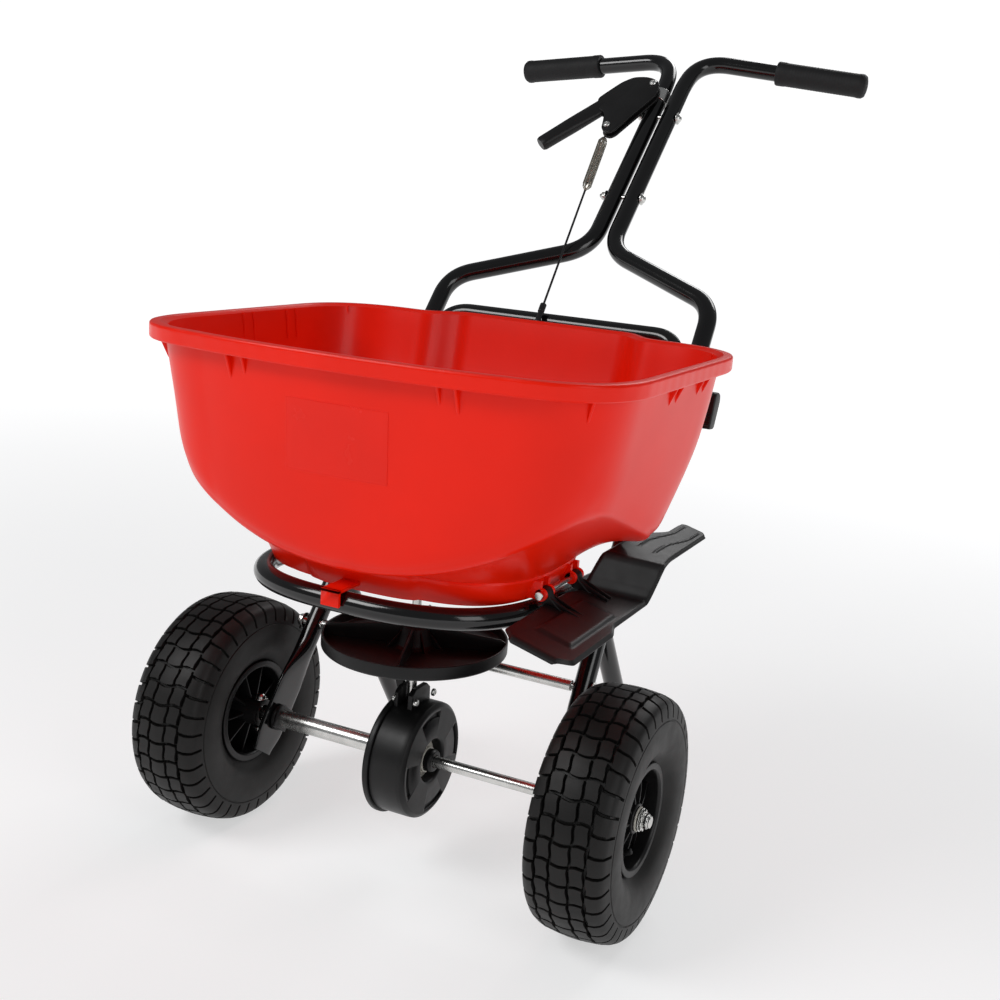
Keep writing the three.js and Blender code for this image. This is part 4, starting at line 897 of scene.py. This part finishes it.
def build_lever():
    basis = (PIVOT, X, UP, OFF)
    head = [(11.5, -20), (11, -8), (8, 3), (-2, 10), (-15, 13), (-32, 11), (-46, 0), (-58, -17), (-70, -35),
            (-62, -56), (-51, -61), (-47, -77), (-44.5, -92), (-38, -99), (-30, -100), (-24, -95), (-9, -64),
            (4, -37)]
    head = fillet(head, 6, True, 4)
    parts = [plate(head, -6.4, -2.7, basis, 1.4), plate(head, 2.7, 6.4, basis, 1.4)]
    core = [(8, -16), (7, 0), (-16, 10), (-40, 2), (-66, -35), (-60, -54), (-50, -60), (-40, -68), (-20, -66),
            (2, -30)]
    parts.append(plate(fillet(core, 6, True, 3), -3, 3, basis, 0.5))
    start, end = V(-56, -40, 0), V(-123, -125.5, 0)
    way = (end - start).normalized()
    across = V(-way.y, way.x, 0)
    length = (end - start).length
    rings = []
    for i in range(31):
        t = i / 30
        round_off = 0.86 + 0.14 * sqrt(max(1 - ((t - 0.95) / 0.05) ** 2, 0)) if t > 0.95 else 1.0
        wide = mix(13.2, 10.7, smooth(t)) * round_off
        thick = mix(6.4, 8.4, smooth(t * 1.6)) * round_off
        mid = start + way * (length * t)
        ring = []
        for turn in angles(36):
            side, off = oval(turn, wide, thick, 0.8, 0.8)
            p = mid + across * side
            ring.append(on_lever(p.x, p.y, off))
        rings.append(ring)
    parts.append(skin(rings))
    piece("lever_moulding", "control_lever", MOULDED, parts, ["control_lever"])

    dome = [(0, 0), (5, 0), (5, 1.3), (3.6, 2.7), (1.6, 3.3), (1.4, 2.4), (0, 2.4)]
    pin = [turned(dome, on_lever(*APEX, 6.6), OFF, 32, 0.3)]
    pin.append(rod(2, on_lever(*APEX, -9), on_lever(*APEX, 7), 0.3))
    piece("spring_pin_steel", "control_lever", ZINC, pin, ["spring_pin"])

    tube_at = V(-13, 598, 844) + UP * 37
    strap = [(TUBE + 0.2, -11), (TUBE + 1.9, -11), (TUBE + 1.9, 9), (TUBE + 0.2, 9)]
    parts = [turned(strap, tube_at, UP, 56, 0.5, True)]
    parts.append(rod(6.6, on_lever(0, 0, -12), on_lever(0, 0, -7), 0.6))
    parts.append(rod(3, on_lever(0, 0, -8), on_lever(0, 0, 7), 0.2))
    parts.append(turned(dome, on_lever(0, 0, 6.7), OFF, 32, 0.3))
    piece("lever_clamp", "frame", ZINC, parts, ["lever_bracket"])

    guide = V(-22, 311, 601.5)
    apex = on_lever(*APEX, 0)
    down = (guide - apex).normalized()
    u, w = square_to(down)
    on = lambda s: apex + down * s
    parts = [tube([on(3.2), on(24), on(30)], 1.3, 12)]
    eye = [apex + down * (3.6 * cos(turn)) + X * (3.6 * sin(turn)) for turn in angles(20) + [2 * pi]]
    parts.append(tube(eye, 1.3, 12))
    turns, per_turn = 30, 14
    coil = []
    for i in range(turns * per_turn + 1):
        a = 2 * pi * i / per_turn
        coil.append(on(32 + 78 * i / (turns * per_turn)) + u * (3.7 * cos(a)) + w * (3.7 * sin(a)))
    parts.append(tube(coil, 0.8, 8))
    for turn in angles(8, 0.2):
        out = u * cos(turn) + w * sin(turn)
        bow = ((20, 0), (22.5, 3.2), (28, 5.5), (113, 5.5), (118.5, 3.2), (121, 0))
        parts.append(tube([on(along) + out * off for along, off in bow], 0.95, 8))
    parts.append(tube([on(106), on(123)], 1.5, 12))
    parts.append(turned([(0, 0), (2.4, 0), (2.4, 9), (0, 9)], on(113), down, 20, 0.4))
    piece("drawbar_spring", "control_line", WIRE, parts, ["control_spring"])

    total = (guide - apex).length
    piece("shutoff_wire", "control_line", SHEATH, [tube([on(122), on(total + 24.5)], 1.4, 16)], ["control_cable"])
    outlet = V(0, span("cable_sheath")[0].y, GATE_CABLE_Z)
    route = [guide, on(total + 28), V(-23, 288, 566), V(-21, 276, 520), V(-14, 262, 465), V(-6, 250, 415),
             V(0, 238, 376), outlet + Y * 38, outlet]
    path = rounded_path(route, [3, 8, 14, 14, 14, 14, 8], 8)
    sides = 24
    hose, bore = tube(path, 3.4, sides, ends=False), tube(path, 2.6, sides, ends=False)
    ends = []
    for first in (0, (len(path) - 1) * sides):
        ends.append(skin([shape[0][first:first + sides] for shape in (hose, bore)], ends=False))
    ferrule = turned([(2.8, 0), (4.1, 0), (4.1, 12), (3.5, 13), (2.8, 13)], guide, down, sides, 0.4, True)
    tail = turned([(2.8, 0), (4.1, 0), (4.1, 12), (2.8, 12)], outlet, Y, sides, 0.4, True)
    piece("cable_hose", "frame", SHEATH, [hose, bore, *ends, ferrule, tail], ["cable_sheath"])
    low, high = span("gate_cable")
    at = lambda y: V(0, y, GATE_CABLE_Z)
    inner = [tube([at(low.y), at(high.y)], 1.4, 16), rod(3.6, at(low.y), at(low.y + 4.1), 0.5)]
    piece("gate_wire", "gate", WIRE, inner, ["gate_cable"])


# ------------------------------------------------------------------ side deflector and rate lever
DROOP = radians(15)
FLAP_FRONT, FLAP_REAR = -140, 262
OUTWARD = V(cos(DROOP), 0, -sin(DROOP))
SQUARE = V(sin(DROOP), 0, cos(DROOP))


def deflector_edges(y):
    """How far from the hinge the flap's two edges are."""
    front = smooth((y - FLAP_FRONT) / 16)
    tip = smooth((FLAP_REAR - y) / 9)
    inner = 16 - 11 * front + 6 * smooth((y - 2) / 30) + 20 * smooth((y - 150) / 70) + 8 * (1 - tip)
    outer = 66 + 13 * front - 7 * smooth((y + 34) / 26) - 6 * smooth((y - 78) / 62) - 6 * (1 - tip)
    return inner, outer


def ridge(distance, half):
    return smooth((half - abs(distance)) / 1.6 + 0.5)


def deflector_lift(out, y, inner, outer):
    """Height of the flap's surface: a sloping step, a raised panel, ribs and rolled edges."""
    start = 34 + 0.72 * (out - 10)
    lift = -7.5 + 35 * smooth((y - start) / 34)
    box_in = min(smooth((out - 24) / 5), smooth((66 - out) / 5), smooth((y + 106) / 6), smooth((8 - y) / 6))
    lift += 2.6 * box_in
    for shift in (-7, 7):
        fade = smooth((out - inner - 3) / 3) * smooth((outer - out - 3) / 3)
        lift += ridge(y - start - 17 - shift, 1.4) * fade
    if y > 118:
        middle_out = (inner + outer) / 2
        on_tongue = smooth((y - 120) / 8) * smooth((250 - y) / 8)
        lift += 1.4 * on_tongue * max(ridge(out - middle_out - 9, 1.3), ridge(out - middle_out + 9, 1.3))
    edge = min(out - inner, outer - out, y - FLAP_FRONT, FLAP_REAR - y)
    return lift - 3.2 * (1 - smooth(edge / 3.4))


def build_deflector():
    rows, columns, thick = 190, 44, 3.0
    at = lambda out, y, lift: HINGE + Y * y + OUTWARD * out + SQUARE * lift
    over, under = [], []
    for i in range(rows + 1):
        y = mix(FLAP_FRONT, FLAP_REAR, i / rows)
        inner, outer = deflector_edges(y)
        top, low = [], []
        for j in range(columns + 1):
            t = 0.5 - 0.5 * cos(pi * j / columns) if j in (0, columns) else mix(0, 1, j / columns)
            out = mix(inner, outer, t)
            lift = deflector_lift(out, y, inner, outer)
            top.append(at(out, y, lift))
            low.append(at(out, y, lift - thick + 2.2 * (1 - smooth(min(out - inner, outer - out) / 3.4))))
        over.append(top)
        under.append(list(reversed(low)))
    parts = [skin([a + b for a, b in zip(over, under)])]
    arm = [(-6, 0), (-5.2, 3.6), (-3.6, 5.4), (0, 6.2), (3.4, 5.6), (6, 3.4), (8, 0), (26, -8.4), (26, -10.4),
           (4, -10.4), (-2, -6.6), (-5, -3.4)]
    web = [(4, -5), (44, -8), (44, -4.8), (10, 0)]
    for y in HINGE_EARS:
        basis = (HINGE + Y * y, OUTWARD, SQUARE, Y)
        parts.append(plate(arm, -6, 6, basis, 0.9))
        parts += [plate(web, side - 0.9, side + 0.9, basis, 0.5, 2) for side in (-4.6, 4.6)]
    piece("deflector_flap", "side_deflector", MOULDED, parts, ["side_deflector"], 34)
    low, high = span("deflector_pin")
    pin_at = lambda y: HINGE + Y * y
    pin = [rod(2.5, pin_at(low.y + 2), pin_at(high.y), 0.5),
           turned([(0, 0), (4.4, 0), (4.4, 2.2), (0, 2.4)], pin_at(low.y), Y, 28, 0.7)]
    piece("hinge_pin", "frame", ZINC, pin, ["deflector_pin"])


def build_rate_lever():
    y, z = 277, 519
    inside = span("rate_lever")[0].x
    basis = (ORIGIN, Y, Z, X)
    shape = [(8, 0), (7, 8), (-2, 12), (-11, 9), (-13, 0), (-24, -29), (-6, -31)]
    shape = fillet([(y + across, z + up) for across, up in shape], 5, True, 4)
    parts = [plate(shape, inside + 8, inside + 26, basis, 1.6)]
    for i in range(3):
        ridge_y, ridge_z = y - 22.4 + i * 2.1, z - 24 + i * 5.4
        parts.append(tube([V(inside + 10, ridge_y, ridge_z), V(inside + 24, ridge_y, ridge_z)], 1.5, 14))
    parts.append(rod(7, V(inside, y, z), V(inside + 9, y, z), 0.6))
    piece("rate_lever_moulding", "rate_lever", MOULDED, parts, ["rate_lever"])


# ------------------------------------------------------------------ stage
def build_stage():
    made = bmesh.new()
    far = 60.0
    for x, y in ((-far, -far), (far, -far), (far, far), (-far, far)):
        made.verts.new((x, y, -0.0005))
    made.verts.ensure_lookup_table()
    made.faces.new(made.verts)
    mesh = bpy.data.meshes.new("floor")
    made.to_mesh(mesh)
    made.free()
    ground = add("floor", mesh)
    paint = look("white_floor", (0.5, 0.5, 0.505), 0.7, (60, 0.05), (2, 0.01), 0.03, shine=0.0)
    glow = paint.node_tree.nodes["Principled BSDF"]
    glow.inputs["Emission Color"].default_value = (1, 1, 1, 1)
    # The floor glows a little, more with distance, so that it runs into the white surroundings.
    nodes, links = paint.node_tree.nodes, paint.node_tree.links
    distance = nodes.new("ShaderNodeVectorMath")
    distance.operation = "LENGTH"
    links.new(nodes.new("ShaderNodeTexCoord").outputs["Object"], distance.inputs[0])
    glow_at = nodes.new("ShaderNodeMapRange")
    glow_at.interpolation_type = "SMOOTHSTEP"
    for socket, value in (("From Min", 0.7), ("From Max", 4.0), ("To Min", 0.55), ("To Max", 0.93)):
        glow_at.inputs[socket].default_value = value
    links.new(distance.outputs["Value"], glow_at.inputs["Value"])
    links.new(glow_at.outputs["Result"], glow.inputs["Emission Strength"])
    mesh.materials.append(paint)

    world = bpy.data.worlds.new("studio")
    bpy.context.scene.world = world
    world.use_nodes = True
    nodes, links = world.node_tree.nodes, world.node_tree.links
    room = nodes["Background"]
    room.inputs["Color"].default_value = (0.95, 0.97, 1, 1)
    room.inputs["Strength"].default_value = 0.2
    backdrop = nodes.new("ShaderNodeBackground")
    backdrop.inputs["Color"].default_value = (1, 1, 1, 1)
    backdrop.inputs["Strength"].default_value = 1.05
    choose = nodes.new("ShaderNodeMixShader")
    links.new(nodes.new("ShaderNodeLightPath").outputs["Is Camera Ray"], choose.inputs["Fac"])
    links.new(room.outputs["Background"], choose.inputs[1])
    links.new(backdrop.outputs["Background"], choose.inputs[2])
    links.new(choose.outputs["Shader"], nodes["World Output"].inputs["Surface"])
    bpy.context.scene.view_settings.view_transform = "Standard"

    def lamp(name, place, target, size, power):
        light = bpy.data.lights.new(name, "AREA")
        light.shape = "RECTANGLE"
        light.size, light.size_y = size
        light.energy = power
        thing = add(name, light)
        thing.location = place
        thing.rotation_euler = (Vector(target) - Vector(place)).to_track_quat("-Z", "Y").to_euler()

    lamp("key", (-1.6, -2.2, 2.6), (0, 0, 0.45), (1.6, 1.2), 50)
    lamp("fill", (2.4, -1.4, 1.5), (0, 0, 0.4), (1.2, 1.6), 16)
    lamp("back", (0.4, 2.4, 2.2), (0, 0, 0.5), (2.0, 1.0), 30)


AZIMUTH, ELEVATION, ROLL = radians(24.0), radians(14.1), radians(4.6)
CAMERA = V(649.6, -1161.1, 746.8)
FOCAL = 47.2
SHIFT = (-0.0389, 0.0119)


def build_camera():
    back = V(sin(AZIMUTH) * cos(ELEVATION), -cos(AZIMUTH) * cos(ELEVATION), sin(ELEVATION))
    level_right = V(cos(AZIMUTH), sin(AZIMUTH), 0)
    level_up = back.cross(level_right)
    right = level_right * cos(ROLL) + level_up * sin(ROLL)
    up = level_up * cos(ROLL) - level_right * sin(ROLL)
    data = bpy.data.cameras.new("camera")
    data.sensor_width = 36
    data.lens = FOCAL
    data.shift_x, data.shift_y = SHIFT
    thing = add("camera", data)
    turn = Matrix((right, up, back)).transposed().to_4x4()
    thing.matrix_world = Matrix.Translation(to_row(CAMERA)) @ turn
    bpy.context.scene.camera = thing


build_camera()
build_frame()
build_handle()
build_wheels()
build_axle()
build_gearbox()
build_impeller()
build_hopper()
build_outlet()
build_lever()
build_deflector()
build_rate_lever()
build_stage()
